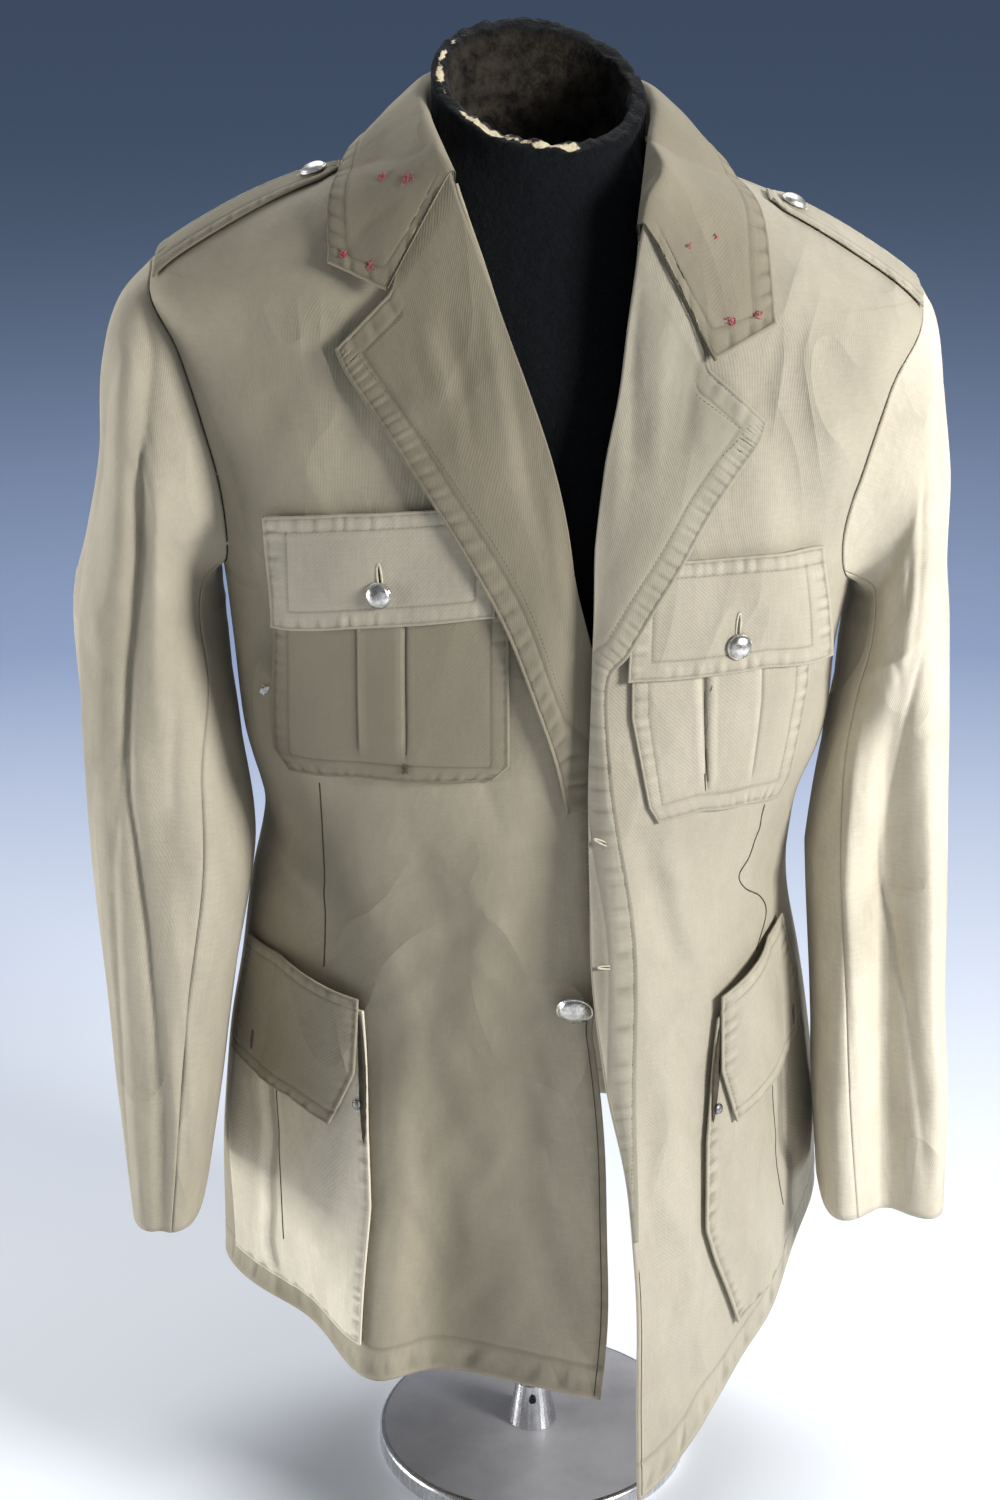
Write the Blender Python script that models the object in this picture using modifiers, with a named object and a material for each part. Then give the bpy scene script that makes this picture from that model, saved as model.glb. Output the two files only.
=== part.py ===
"""Khaki drill service tunic, worn open on a black dress form with a round metal stand.

Metres, +Z up. The origin is the centre of the underside of the base disc, and the
tunic's front faces -Y, so the wearer's right side is at -X. Every cloth piece is a
thin wall on one shared body surface, which is worked out from the tables below.
"""

import math
from collections import namedtuple

import bmesh
import bpy
import numpy as np
from mathutils import Matrix, Vector

MM = 0.001

# Driving sizes, in millimetres.
CLOTH = 1.6
COLLAR_CLOTH = 2.0
SEAM = 0.9
CAP_EDGE = 1.8
UNDER_EDGE = 2.4

BASE_RADIUS = 109
BASE_HEIGHT = 14
BASE_EDGE = 3
POLE_RADIUS = 8
POLE_TOP = 372
SOCKET_FOOT_RADIUS = 17
SOCKET_TOP_RADIUS = 11.5
SOCKET_HEIGHT = 32
SOCKET_BORE_GAP = 0.3
SET_SCREW_RADIUS = 2.6
SET_SCREW_LENGTH = 2.4
SET_SCREW_HEIGHT = 24
SET_SCREW_GAP = 0.6
FACE_GAP = 0.3
SCREW_MERGE = 0.0001

SMALL_BUTTON = 8.2
SMALL_DOME = 3.6
FRONT_BUTTON = 11.5
FRONT_DOME = 5
BUTTON_RIM = 1.4
BUTTON_GAP = 0.35
STUD_RADIUS = 3.4
STUD_RIM = 0.8
STUD_DOME = 1.6

# How far off the front the pieces laid on it lie.
BAG_LIFT = 1.2
PLEAT_RISE = 1.0
FLAP_LIFT = 3.7
FLAP_BELLY = 1.4
FLAP_END_LIFT = 0.7
BELLOWS_RISE = 6
FLAP_SWING = 4
FLAP_GAP = 0.75
LAPEL_FOLD = 0.9

# The shoulder straps, across the shoulders.
STRAP_END_X = 229
STRAP_TIP_X = {-1: 118, 1: 136}
STRAP_FRONT_Y = (-30, -26)
STRAP_BACK_Y = (14, 8)
STRAP_TAPER = 0.12
STRAP_LIFT = 1.2

# Where the buttons sit: (x, height) on the fronts and (x, y) on the straps.
CHEST_BUTTON_AT = {-1: (-93, 657), 1: (116, 629)}
STRAP_BUTTON_AT = {-1: (-133, -10), 1: (151, -10)}
FRONT_BUTTON_AT = (22, 405)
STUD_AT = {-1: (-110, 318), 1: (108, 330)}
STUD_SHARES = {-1: (0.05, 0.7), 1: (0.1, 0.8)}

NECK_HEIGHT = 937
NECK_LEAN_BACK = 0.50
NECK_LEAN_SIDE = -0.13
NECK_RADIUS_X = 64
NECK_RADIUS_Y = 60
NECK_WALL = 9
NECK_HOLLOW = 60

ARMHOLE_Z = 735
ARMHOLE_RISE = 89
ARMHOLE_FRONT = {-1: 18, 1: 25}
ARMHOLE_BACK = 15
SHOULDER_DROP = 0.038
HEM_LEVEL = 140
PANEL_START = 0.004
SEAM_U = SEAM / 2 / 200
TOP_LEVEL = 908
GRID_LEVELS = range(770, TOP_LEVEL - 2, 6)

# One row for each level of a front: its edge or roll line, the slope of the cloth there
# (how far it goes back for each millimetre it goes out), how square its corner is, and
# the side seam.
Level = namedtuple("Level", "z edge_x edge_y slope square side_x side_y")
RIGHT_LEVELS = [
    Level(140, 42, -186, 0.33, 0.60, 215, 10),
    Level(190, 46, -182, 0.31, 0.60, 214, 8),
    Level(250, 45, -177, 0.28, 0.60, 211, 5),
    Level(310, 43, -170, 0.25, 0.60, 205, 3),
    Level(370, 37, -163, 0.21, 0.60, 195, 1),
    Level(430, 28, -155, 0.15, 0.62, 186, 0),
    Level(480, 24, -150, 0.11, 0.65, 176, 0),
    Level(540, 24, -145, 0.08, 0.69, 188, 0),
    Level(600, 26, -141, 0.09, 0.73, 193, 0),
    Level(650, 24, -137, 0.11, 0.79, 198, -2),
    Level(700, 18, -131, 0.12, 0.82, 208, -4),
    Level(740, 8, -124, 0.10, 0.84, 220, -4),
    Level(780, -6, -113, 0.08, 0.82, 231, -2),
    Level(817, -20, -101, 0.06, 0.72, 240, 0),
    Level(850, -32, -90, 0.05, 0.62, 199, 0),
    Level(875, -42, -82, 0.05, 0.58, 150, 0),
    Level(894, -49, -76, 0.05, 0.55, 97, 0),
    Level(908, -51, -70, 0.05, 0.55, 66, 0),
]
LEFT_LEVELS = [
    Level(120, -62, -245, 1.15, 0.60, 200, 62),
    Level(190, -61, -230, 1.00, 0.60, 198, 50),
    Level(250, -60, -214, 0.82, 0.60, 194, 38),
    Level(310, -53, -200, 0.62, 0.60, 187, 28),
    Level(370, -40, -184, 0.42, 0.60, 177, 18),
    Level(430, -32, -172, 0.29, 0.60, 166, 8),
    Level(480, -30, -164, 0.23, 0.60, 166, 3),
    Level(540, -29, -157, 0.18, 0.66, 185, 0),
    Level(600, -30, -151, 0.15, 0.72, 191, -2),
    Level(650, -31, -146, 0.14, 0.78, 198, -4),
    Level(700, -32, -139, 0.13, 0.82, 208, -4),
    Level(740, -37, -132, 0.11, 0.84, 220, -4),
    Level(780, -45, -121, 0.08, 0.82, 231, -2),
    Level(817, -50, -109, 0.06, 0.72, 240, 0),
    Level(850, -55, -95, 0.05, 0.62, 199, 0),
    Level(875, -58, -84, 0.05, 0.58, 150, 0),
    Level(894, -60, -77, 0.05, 0.55, 97, 0),
    Level(908, -61, -71, 0.05, 0.55, 66, 0),
]

# One row for each level of the back.
BackLevel = namedtuple("BackLevel", "z back_y fullness")
BACK_LEVELS = [
    BackLevel(140, 172, 0.55),
    BackLevel(250, 155, 0.55),
    BackLevel(370, 126, 0.55),
    BackLevel(460, 104, 0.55),
    BackLevel(540, 106, 0.57),
    BackLevel(650, 122, 0.60),
    BackLevel(720, 128, 0.60),
    BackLevel(780, 120, 0.58),
    BackLevel(817, 106, 0.55),
    BackLevel(850, 94, 0.52),
    BackLevel(894, 74, 0.52),
    BackLevel(908, 66, 0.52),
]

# One row for each ring of a sleeve: its outer and inner point, seen from the front, how
# far forward its middle lies and half its depth from front to back.
Ring = namedtuple("Ring", "outer_x outer_z inner_x inner_z middle_y half_depth")
RIGHT_SLEEVE = [
    Ring(255, 811, 203, 637, -6, 78),
    Ring(266, 775, 207, 627, -7, 78),
    Ring(271, 720, 208, 611, -9, 76),
    Ring(281, 664, 204, 592, -12, 73),
    Ring(289, 622, 198, 568, -16, 70),
    Ring(287, 556, 190, 527, -27, 66),
    Ring(282, 474, 182, 464, -44, 66),
    Ring(274, 384, 195, 380, -58, 67),
    Ring(269, 306, 206, 300, -66, 67),
    Ring(263, 233, 217, 232, -71, 64),
]
LEFT_SLEEVE = [
    Ring(243, 798, 204, 628, -6, 78),
    Ring(248, 758, 207, 618, -7, 78),
    Ring(254, 706, 206, 603, -9, 76),
    Ring(256, 650, 203, 586, -12, 73),
    Ring(259, 606, 197, 563, -16, 70),
    Ring(261, 540, 189, 520, -26, 67),
    Ring(263, 462, 184, 455, -40, 67),
    Ring(264, 372, 184, 372, -54, 67),
    Ring(268, 300, 184, 300, -64, 66),
    Ring(268, 232, 188, 230, -70, 64),
]
SLEEVE_SQUARE = 0.35

# Where the front seam of a sleeve runs, in degrees, at these shares of its length.
SEAM_PLACES = (0, 0.2, 0.35, 0.5, 0.75, 1)
FRONT_SEAM = {-1: (160, 156, 150, 123, 116, 120), 1: (150, 150, 148, 152, 146, 130)}
BACK_SEAM = 236
SEAM_TURN_TOP = 1.2
SEAM_TURN_CUFF = 1.25
SEAM_CROWDING = 0.6

# One row for each large fold of a sleeve: where it lies round the sleeve in degrees
# (0 outside, 90 front, 180 inside) at its top and bottom, its stretch from cap (0) to
# cuff (1), its depth and its half width in degrees.
Fold = namedtuple("Fold", "turn_top turn_end start end depth half_turn")
RIGHT_FOLDS = [
    Fold(70, 22, 0.12, 0.52, 9, 16),
    Fold(112, 64, 0.45, 1.02, -5, 16),
    Fold(250, 290, 0.20, 0.75, 8, 20),
]
LEFT_FOLDS = [
    Fold(100, 88, 0.42, 1.16, 38, 34),
    Fold(52, 34, 0.10, 0.50, 6, 16),
    Fold(255, 290, 0.25, 0.80, 8, 20),
]

# One row for each station of the collar, from the right front round the back to the
# left front: the foot of its stand, its fold, the middle of its leaf and its outer edge.
Station = namedtuple("Station", "foot fold middle edge")
COLLAR = [
    Station((-51, -71, 889), (-53, -79, 896), (-88, -99, 834), (-123, -84, 847)),
    Station((-58, -55, 896), (-60, -60, 911), (-92, -78, 872), (-122, -62, 870)),
    Station((-66, -30, 902), (-66, -32, 923), (-92, -36, 904), (-118, -34, 892)),
    Station((-69, 2, 905), (-69, 2, 932), (-88, 3, 921), (-107, 4, 903)),
    Station((-57, 43, 906), (-56, 44, 937), (-72, 61, 922), (-88, 72, 894)),
    Station((0, 66, 904), (0, 68, 936), (0, 86, 917), (0, 97, 884)),
    Station((57, 43, 902), (56, 44, 932), (72, 61, 917), (88, 72, 888)),
    Station((69, 2, 904), (69, 2, 926), (88, 3, 914), (107, 4, 895)),
    Station((66, -30, 892), (67, -33, 911), (94, -39, 891), (123, -39, 874)),
    Station((62, -55, 876), (64, -63, 889), (97, -86, 848), (132, -76, 844)),
    Station((59, -74, 858), (61, -82, 866), (100, -118, 797), (137, -102, 815)),
]
COLLAR_ACROSS = (0, 0.3, 0.66, 1)
COLLAR_REST = 3.4

# One row for each level of a lapel: its roll line, the middle of its leaf and its edge.
Leaf = namedtuple("Leaf", "roll_x roll_z middle_x middle_z edge_x edge_z lift")
RIGHT_LAPEL = [
    Leaf(22, 530, 20, 529, 17, 528, 2.0),
    Leaf(23, 570, 17, 567, 10, 560, 4.0),
    Leaf(24, 615, 12, 611, -1, 594, 5.4),
    Leaf(22, 660, 5, 655, -17, 636, 6.6),
    Leaf(17, 700, -4, 693, -38, 676, 7.4),
    Leaf(8, 738, -18, 728, -60, 712, 7.4),
    Leaf(-5, 776, -34, 757, -77, 737, 6.2),
    Leaf(-19, 812, -50, 780, -90, 756, 5.4),
    Leaf(-33, 848, -68, 800, -104, 775, 5.2),
    Leaf(-43, 874, -80, 818, -113, 788, 5.0),
    Leaf(-49, 889, -87, 830, -118, 799, 5.0),
]
LEFT_LAPEL = [
    Leaf(56, 270, 58, 270, 60, 270, 1.5),
    Leaf(50, 319, 54, 319, 58, 319, 3.5),
    Leaf(39, 366, 48, 366, 57, 366, 6.0),
    Leaf(29, 447, 42, 447, 56, 447, 7.0),
    Leaf(28, 510, 38, 510, 48, 510, 7.0),
    Leaf(28, 560, 35, 560, 42, 560, 6.0),
    Leaf(29, 618, 34, 615, 40, 612, 5.6),
    Leaf(30, 650, 40, 640, 51, 629, 7.2),
    Leaf(31, 680, 48, 668, 66, 655, 7.8),
    Leaf(34, 712, 57, 697, 82, 681, 7.8),
    Leaf(39, 752, 68, 728, 98, 709, 6.6),
    Leaf(45, 790, 78, 757, 113, 730, 5.4),
    Leaf(50, 822, 88, 770, 124, 745, 5.2),
    Leaf(54, 845, 93, 782, 128, 752, 5.0),
    Leaf(57, 860, 98, 790, 131, 760, 5.0),
]

# The outlines of the pocket pieces: (x, z) from the front edge towards the side seam, one
# row for each share of the height from the bottom (0) to the top (1).
CHEST_BAG = {
    -1: [
        (0, [(-27, 546), (-70, 541), (-110, 538), (-152, 531)]),
        (0.1, [(-17, 556), (-70, 553), (-110, 550), (-162, 543)]),
        (1, [(-17, 690), (-70, 688), (-110, 683), (-161, 676)]),
    ],
    1: [
        (0, [(71, 522), (99, 525), (126, 521), (147, 515)]),
        (0.1, [(65, 533), (95, 537), (126, 534), (155, 529)]),
        (0.5, [(54, 590), (92, 592), (130, 591), (165, 588)]),
        (1, [(54, 655), (90, 656), (130, 657), (164, 655)]),
    ],
}
CHEST_FLAP = {
    -1: [
        (0, [(-25, 647), (-70, 640), (-112, 634), (-161, 624)]),
        (1, [(-22, 715), (-70, 709), (-115, 704), (-162, 697)]),
    ],
    1: [
        (0, [(51, 612), (92, 612), (134, 612), (178, 602)]),
        (1, [(54, 684), (90, 683), (130, 683), (168, 682)]),
    ],
}
SKIRT_BAG = {
    -1: [
        (0, [(-110, 163), (-135, 161), (-163, 158), (-202, 160)]),
        (0.45, [(-103, 256), (-135, 257), (-166, 258), (-204, 260)]),
        (1, [(-106, 380), (-135, 381), (-162, 383), (-186, 384)]),
    ],
    1: [
        (0, [(126, 176), (144, 184), (163, 193), (183, 206)]),
        (0.4, [(102, 256), (127, 260), (154, 265), (184, 272)]),
        (0.65, [(102, 312), (126, 316), (149, 320), (177, 326)]),
        (1, [(109, 385), (128, 390), (145, 396), (162, 402)]),
    ],
}
SKIRT_FLAP = {
    -1: [
        (0, [(-124, 299), (-150, 306), (-176, 305), (-197, 311)]),
        (0.4, [(-110, 338), (-140, 342), (-168, 344), (-193, 346)]),
        (1, [(-108, 388), (-137, 394), (-161, 398), (-182, 398)]),
    ],
    1: [
        (0, [(117, 318), (135, 325), (154, 331), (170, 334)]),
        (0.5, [(109, 352), (130, 361), (150, 369), (166, 376)]),
        (1, [(110, 398), (128, 409), (142, 416), (154, 422)]),
    ],
}

# One row for each level of the dress form, below the shoulders.
FormLevel = namedtuple("FormLevel", "z half_width front_y back_y")
FORM_LEVELS = [
    FormLevel(372, 140, -98, 96),
    FormLevel(376, 150, -106, 104),
    FormLevel(420, 152, -112, 96),
    FormLevel(470, 142, -108, 84),
    FormLevel(540, 144, -112, 88),
    FormLevel(620, 158, -118, 100),
    FormLevel(690, 172, -118, 106),
    FormLevel(750, 190, -108, 104),
    FormLevel(800, 203, -93, 93),
    FormLevel(828, 203, -80, 80),
]
FORM_SHOULDERS = (848, 892)
THROAT_DIP = 50
NECK_FOOT = 900
FORM_SEAT = 1.1
FORM_SIDES = 36
FORM_SQUARE = 2.3

Colour = namedtuple("Colour", "rgb roughness metallic")
KHAKI = Colour((0.46, 0.39, 0.25), 0.9, 0.0)
JERSEY = Colour((0.012, 0.012, 0.016), 0.95, 0.0)
WHITE_METAL = Colour((0.62, 0.62, 0.60), 0.3, 1.0)
BRUSHED_STEEL = Colour((0.45, 0.46, 0.48), 0.4, 1.0)
DARK_STEEL = Colour((0.10, 0.10, 0.11), 0.4, 1.0)


def metres(point):
    """A point in metres: the tables' heights are above the top of the base disc."""
    return Vector((point[0], point[1], point[2] + BASE_HEIGHT)) * MM


def word(side):
    return "right" if side < 0 else "left"


def clear_scene():
    for obj in list(bpy.data.objects):
        bpy.data.objects.remove(obj)


def material(name, colour):
    made = bpy.data.materials.new(name)
    made.use_nodes = True
    shader = made.node_tree.nodes["Principled BSDF"]
    shader.inputs["Base Color"].default_value = (*colour.rgb, 1)
    shader.inputs["Roughness"].default_value = colour.roughness
    shader.inputs["Metallic"].default_value = colour.metallic
    return made


def add_object(name, mesh, colour):
    obj = bpy.data.objects.new(name, mesh)
    PARTS.objects.link(obj)
    obj.data.materials.append(material(name + "_finish", colour))
    return obj


# Curves through table rows.


def along(places, values, at):
    """Smooth value at a place between rows, by Hermite steps with rows' own slopes."""
    places = np.asarray(places, float)
    values = np.asarray(values, float)
    slopes = np.gradient(values, places, axis=0)
    i = int(np.clip(np.searchsorted(places, at) - 1, 0, len(places) - 2))
    span = places[i + 1] - places[i]
    t = (at - places[i]) / span
    t2, t3 = t * t, t * t * t
    return (
        (2 * t3 - 3 * t2 + 1) * values[i]
        + (t3 - 2 * t2 + t) * span * slopes[i]
        + (3 * t2 - 2 * t3) * values[i + 1]
        + (t3 - t2) * span * slopes[i + 1]
    )


def section(rows, z):
    return type(rows[0])(z, *along([r.z for r in rows], [r[1:] for r in rows], z)[:])


def bezier(points, t):
    a, b, c, d = (np.asarray(p, float) for p in points)
    s = 1 - t
    return s * s * s * a + 3 * s * s * t * b + 3 * s * t * t * c + t * t * t * d


def smooth_step(value, low, high):
    t = min(max((value - low) / (high - low), 0.0), 1.0)
    return t * t * (3 - 2 * t)


# The body surface. Side is -1 for the wearer's right and +1 for the left, u runs from
# the front edge (0) to the side seam (1), and from there to the centre back (2).


def levels(side):
    return RIGHT_LEVELS if side < 0 else LEFT_LEVELS


def skirt_flute(side, u, z):
    """The forward fold of a front at the pocket's edge, which grows towards the hem."""
    middle, depth = (0.41, 46) if side < 0 else (0.50, 14)
    return depth * (1 - smooth_step(z, 130, 420)) * math.exp(-(((u - middle) / 0.10) ** 2))


def lean_at(z):
    """How far the shoulders drop to the left, for each millimetre across."""
    return SHOULDER_DROP * smooth_step(z, 560, 780)


def ring_point(side, u, z):
    row = section(levels(side), z)
    side_point = (side * row.side_x, row.side_y)
    if u <= 1:
        edge = (side * -row.edge_x, row.edge_y)
        reach = side_point[0] - edge[0]
        front_y = row.edge_y + row.slope * abs(reach)
        flat = row.square - 0.1
        controls = [
            edge,
            (edge[0] + flat * reach, row.edge_y + flat * row.slope * abs(reach)),
            (side_point[0], row.side_y - row.square * (row.side_y - front_y)),
            side_point,
        ]
        x, y = bezier(controls, u)
        y -= skirt_flute(side, u, z)
    else:
        back = section(BACK_LEVELS, z)
        controls = [
            side_point,
            (side_point[0], row.side_y + back.fullness * (back.back_y - row.side_y)),
            (back.fullness * side_point[0], back.back_y),
            (0, back.back_y),
        ]
        x, y = bezier(controls, u - 1)
    return np.array([x, y, z - lean_at(z) * x])


def surface(side, u, z, lift=0.0):
    """A point of the body surface, moved out along its normal by lift."""
    point = ring_point(side, u, z)
    if not lift:
        return point
    step_u, step_z = 0.01, 2.0
    low, high = max(u - step_u, 0), min(u + step_u, 2)
    across = ring_point(side, high, z) - ring_point(side, low, z)
    up = ring_point(side, u, min(z + step_z, TOP_LEVEL)) - ring_point(side, u, z - step_z)
    normal = np.cross(across, up) * side
    return point + lift * normal / np.linalg.norm(normal)


def u_at(side, z, want, axis, low=0.0, high=1.0):
    """The u at which the ring has this x (axis 0) or y (axis 1)."""
    rising = ring_point(side, high, z)[axis] > ring_point(side, low, z)[axis]
    for _ in range(30):
        middle = (low + high) / 2
        if (ring_point(side, middle, z)[axis] < want) == rising:
            low = middle
        else:
            high = middle
    return (low + high) / 2


def armhole_reach(z):
    """How open the armhole is at this level, from 0 at its ends to 1 at its middle."""
    return math.sqrt(max(0.0, 1 - ((z - ARMHOLE_Z) / ARMHOLE_RISE) ** 2))


def outer_u(side, z, back=False):
    """The u where a front or the back ends: at the armhole, or at the side or shoulder."""
    reach = armhole_reach(z)
    side_x = section(levels(side), z).side_x
    if reach == 0:
        return 1.0
    if back:
        return u_at(side, z, side * (side_x - ARMHOLE_BACK * reach), 0, 1.0, 2.0)
    return u_at(side, z, side * (side_x - ARMHOLE_FRONT[side] * reach), 0, 0.0, 1.0)


# Cloth walls.


def cloth(name, columns, rows, place, colour, thickness=CLOTH, outward=False):
    """A wall on the surface that place(s, t) gives, s and t each running from 0 to 1."""
    mesh = bpy.data.meshes.new(name)
    grid = bmesh.new()
    bmesh.ops.create_grid(grid, x_segments=columns, y_segments=rows, size=0.5)
    for vert in grid.verts:
        s, t = vert.co.x + 0.5, vert.co.y + 0.5
        vert.co = metres(place(min(max(s, 0.0), 1.0), min(max(t, 0.0), 1.0)))
    grid.to_mesh(mesh)
    grid.free()
    obj = add_object(name, mesh, colour)
    wall = obj.modifiers.new("Wall", "SOLIDIFY")
    wall.thickness = thickness * MM
    wall.offset = 1 if outward else -1
    wall.use_even_offset = True
    mesh.shade_smooth()
    return obj


def spaced(values, t):
    """The value at t in a list of levels, which sets where the rows of a panel lie."""
    return float(np.interp(t * (len(values) - 1), range(len(values)), values))


ARMHOLE_LEVELS = [ARMHOLE_Z - ARMHOLE_RISE * math.cos(math.radians(a)) for a in range(0, 181, 20)]
BELOW_ARMHOLE = list(np.linspace(HEM_LEVEL, ARMHOLE_LEVELS[0], 11)[:-1])
SHOULDER_LEVELS = list(np.linspace(ARMHOLE_LEVELS[-1], 893, 6)[1:])
PANEL_LEVELS = BELOW_ARMHOLE + ARMHOLE_LEVELS + SHOULDER_LEVELS


def hem_shift(side, u):
    """How much lower or higher than the first level the hem lies."""
    if side < 0:
        return 36 * smooth_step(u, 1.0, 1.8)
    return -32 + 72 * smooth_step(u, 0, 0.75) - 4 * smooth_step(u, 1.0, 1.8)


def neck_shift(side, u):
    """How much lower or higher than the last level the neck edge lies."""
    drop = 3 if side < 0 else 30
    rise = 11 * smooth_step(u, 0.3, 1.0) - 6 * smooth_step(u, 1.0, 1.6)
    return rise - drop * (1 - smooth_step(u, 0, 0.45))


def panel_level(side, u, t):
    z = spaced(PANEL_LEVELS, t)
    hem = hem_shift(side, u) * (1 - smooth_step(z, HEM_LEVEL, 420))
    return z + hem + neck_shift(side, u) * smooth_step(z, 830, 893)


def front(side):
    def place(s, t):
        end = outer_u(side, spaced(PANEL_LEVELS, t)) - SEAM_U
        u = PANEL_START + (1 - s if side < 0 else s) * (end - PANEL_START)
        return surface(side, u, panel_level(side, u, t))

    return cloth("front_" + word(side), 12, len(PANEL_LEVELS) - 1, place, KHAKI)


def back_panel():
    def place(s, t):
        side = 1 if s < 0.5 else -1
        start = outer_u(side, spaced(PANEL_LEVELS, t), back=True) + SEAM_U
        u = start + (1 - abs(2 * s - 1)) * (2 - start)
        return surface(side, u, panel_level(side, u, t))

    return cloth("back", 16, len(PANEL_LEVELS) - 1, place, KHAKI)


# Sleeves.


def armhole_point(side, turn):
    """A point of the armhole: turn is 0 at the shoulder, 90 in front, 180 underneath."""
    angle = math.radians(turn)
    z = ARMHOLE_Z + ARMHOLE_RISE * math.cos(angle)
    if abs(math.sin(angle)) < 1e-6:
        return surface(side, 1.0, z)
    return surface(side, outer_u(side, z, back=math.sin(angle) < 0), z)


def squared(value, share):
    """A cosine or sine drawn out towards a box, for a sleeve that hangs flattened."""
    power = 1 - SLEEVE_SQUARE * share
    return math.copysign(abs(value) ** power, value)


def sleeve_rings(side, turn):
    """The points of a line down the sleeve, from the armhole to the cuff."""
    angle = math.radians(turn)
    top = math.cos(angle)
    gap = SEAM + (CAP_EDGE * top if top > 0 else UNDER_EDGE * top * top)
    points = [armhole_point(side, turn) + np.array([side * gap, 0, 0])]
    rows = RIGHT_SLEEVE if side < 0 else LEFT_SLEEVE
    for i, row in enumerate(rows):
        outer = np.array([side * row.outer_x, 0, row.outer_z])
        inner = np.array([side * row.inner_x, 0, row.inner_z])
        middle = (outer + inner) / 2 + np.array([0, row.middle_y, 0])
        reach = (outer - inner) / 2
        depth = np.array([0, -row.half_depth, 0])
        share = smooth_step(i / (len(rows) - 1), 0.3, 1)
        out, ahead = squared(math.cos(angle), share), squared(math.sin(angle), share)
        points.append(middle + out * reach + ahead * depth)
    return points


def sleeve_point(side, turn, w):
    points = sleeve_rings(side, turn)
    steps = np.linspace(0, 1, len(points))
    point = along(steps, points, w)
    middle = along(steps, [(a + b) / 2 for a, b in zip(points, sleeve_rings(side, turn + 180))], w)
    inward = middle - point
    inward[2] = 0
    inward /= np.linalg.norm(inward)
    for fold in RIGHT_FOLDS if side < 0 else LEFT_FOLDS:
        run = (w - fold.start) / (fold.end - fold.start)
        if not 0 < run < 1:
            continue
        centre = fold.turn_top + run * (fold.turn_end - fold.turn_top)
        away = (turn - centre + 180) % 360 - 180
        depth = fold.depth * math.sin(math.pi * min(run, 0.5 + (run - 0.5) * 0.6))
        point = point + inward * depth * math.exp(-((away / fold.half_turn) ** 2))
    return point


def sleeve_piece(side, under):
    def place(s, t):
        w = 1 - t
        seam = float(along(SEAM_PLACES, FRONT_SEAM[side], w))
        low, high = (seam, BACK_SEAM) if under else (BACK_SEAM - 360, seam)
        gap = SEAM_TURN_TOP + w * (SEAM_TURN_CUFF - SEAM_TURN_TOP)
        low, high = low + gap, high - gap
        share = s - SEAM_CROWDING * math.sin(2 * math.pi * s) / (2 * math.pi)
        share = share if side < 0 else 1 - share
        return sleeve_point(side, low + share * (high - low), w)

    name = ("under_sleeve_" if under else "top_sleeve_") + word(side)
    return cloth(name, 5 if under else 11, 18, place, KHAKI)


# Pieces laid on the fronts.


def on_front(side, x, z, lift):
    """The point of a front at this x and height, moved out by lift."""
    level = z
    for _ in range(4):
        level = min(z + lean_at(level) * x, TOP_LEVEL)
    return surface(side, u_at(side, level, x, 0), level, lift)


def patch(name, side, outline, columns, rows, lift):
    """A wall laid on a front. Each row of outline is its height share and (x, z) points."""
    heights = [share for share, _ in outline]
    points = np.array([row for _, row in outline], float)
    steps = np.linspace(0, 1, points.shape[1])

    def place(s, t):
        s = s if side > 0 else 1 - s
        lines = [[np.interp(s, steps, row[:, axis]) for row in points] for axis in (0, 1)]
        x, z = (np.interp(t, heights, line) for line in lines)
        return on_front(side, x, z, lift(s, t))

    return cloth(name, columns, rows, place, KHAKI, outward=True)


def bump(value, low, high):
    return math.sin(math.pi * (value - low) / (high - low)) if low < value < high else 0.0


def chest_bag_lift(s, t):
    return BAG_LIFT + PLEAT_RISE * bump(s, 0.3, 0.7)


def chest_flap_lift(s, t):
    over_pleat = FLAP_BELLY * bump(s, 0.1, 0.9) * (1 - t)
    return FLAP_LIFT + over_pleat + FLAP_END_LIFT * smooth_step(s, 0.6, 1)


def skirt_bag_lift(s, t):
    return BAG_LIFT + BELLOWS_RISE * bump(s, -0.1, 0.7) * (0.3 + 0.7 * t)


def skirt_flap_lift(s, t):
    return skirt_bag_lift(s, 1.0) + CLOTH + FLAP_GAP + FLAP_SWING * (1 - t) * (1 - s)


def lapel(side):
    rows = RIGHT_LAPEL if side < 0 else LEFT_LAPEL
    places = np.linspace(0, 1, len(rows))

    def place(s, t):
        s = s if side > 0 else 1 - s
        row = Leaf(*along(places, rows, t))
        x = np.interp(s, [0, 0.5, 1], [row.roll_x, row.middle_x, row.edge_x])
        z = np.interp(s, [0, 0.5, 1], [row.roll_z, row.middle_z, row.edge_z])
        lift = LAPEL_FOLD + (row.lift - LAPEL_FOLD) * smooth_step(s, 0, 0.7)
        return on_front(side, x, z, lift)

    return cloth("lapel_" + word(side), 4, len(rows) + 3, place, KHAKI, outward=True)


def shoulder_grid():
    """Points of the chest, shoulders and back round the neck, and the normals there."""
    places = [(side, u, z) for side in (-1, 1) for u in np.linspace(0, 2, 41) for z in GRID_LEVELS]
    points = np.array([surface(*place) for place in places])
    normals = np.array([surface(*place, lift=1.0) for place in places]) - points
    return points, normals


GRID_POINTS, GRID_NORMALS = shoulder_grid()


def rested(point, lift):
    """This point, moved out of the cloth where it lies less than lift above it."""
    nearest = np.argmin(((GRID_POINTS - point) ** 2).sum(axis=1))
    normal = GRID_NORMALS[nearest]
    height = (point - GRID_POINTS[nearest]) @ normal
    return point + max(lift - height, 0) * normal


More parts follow.
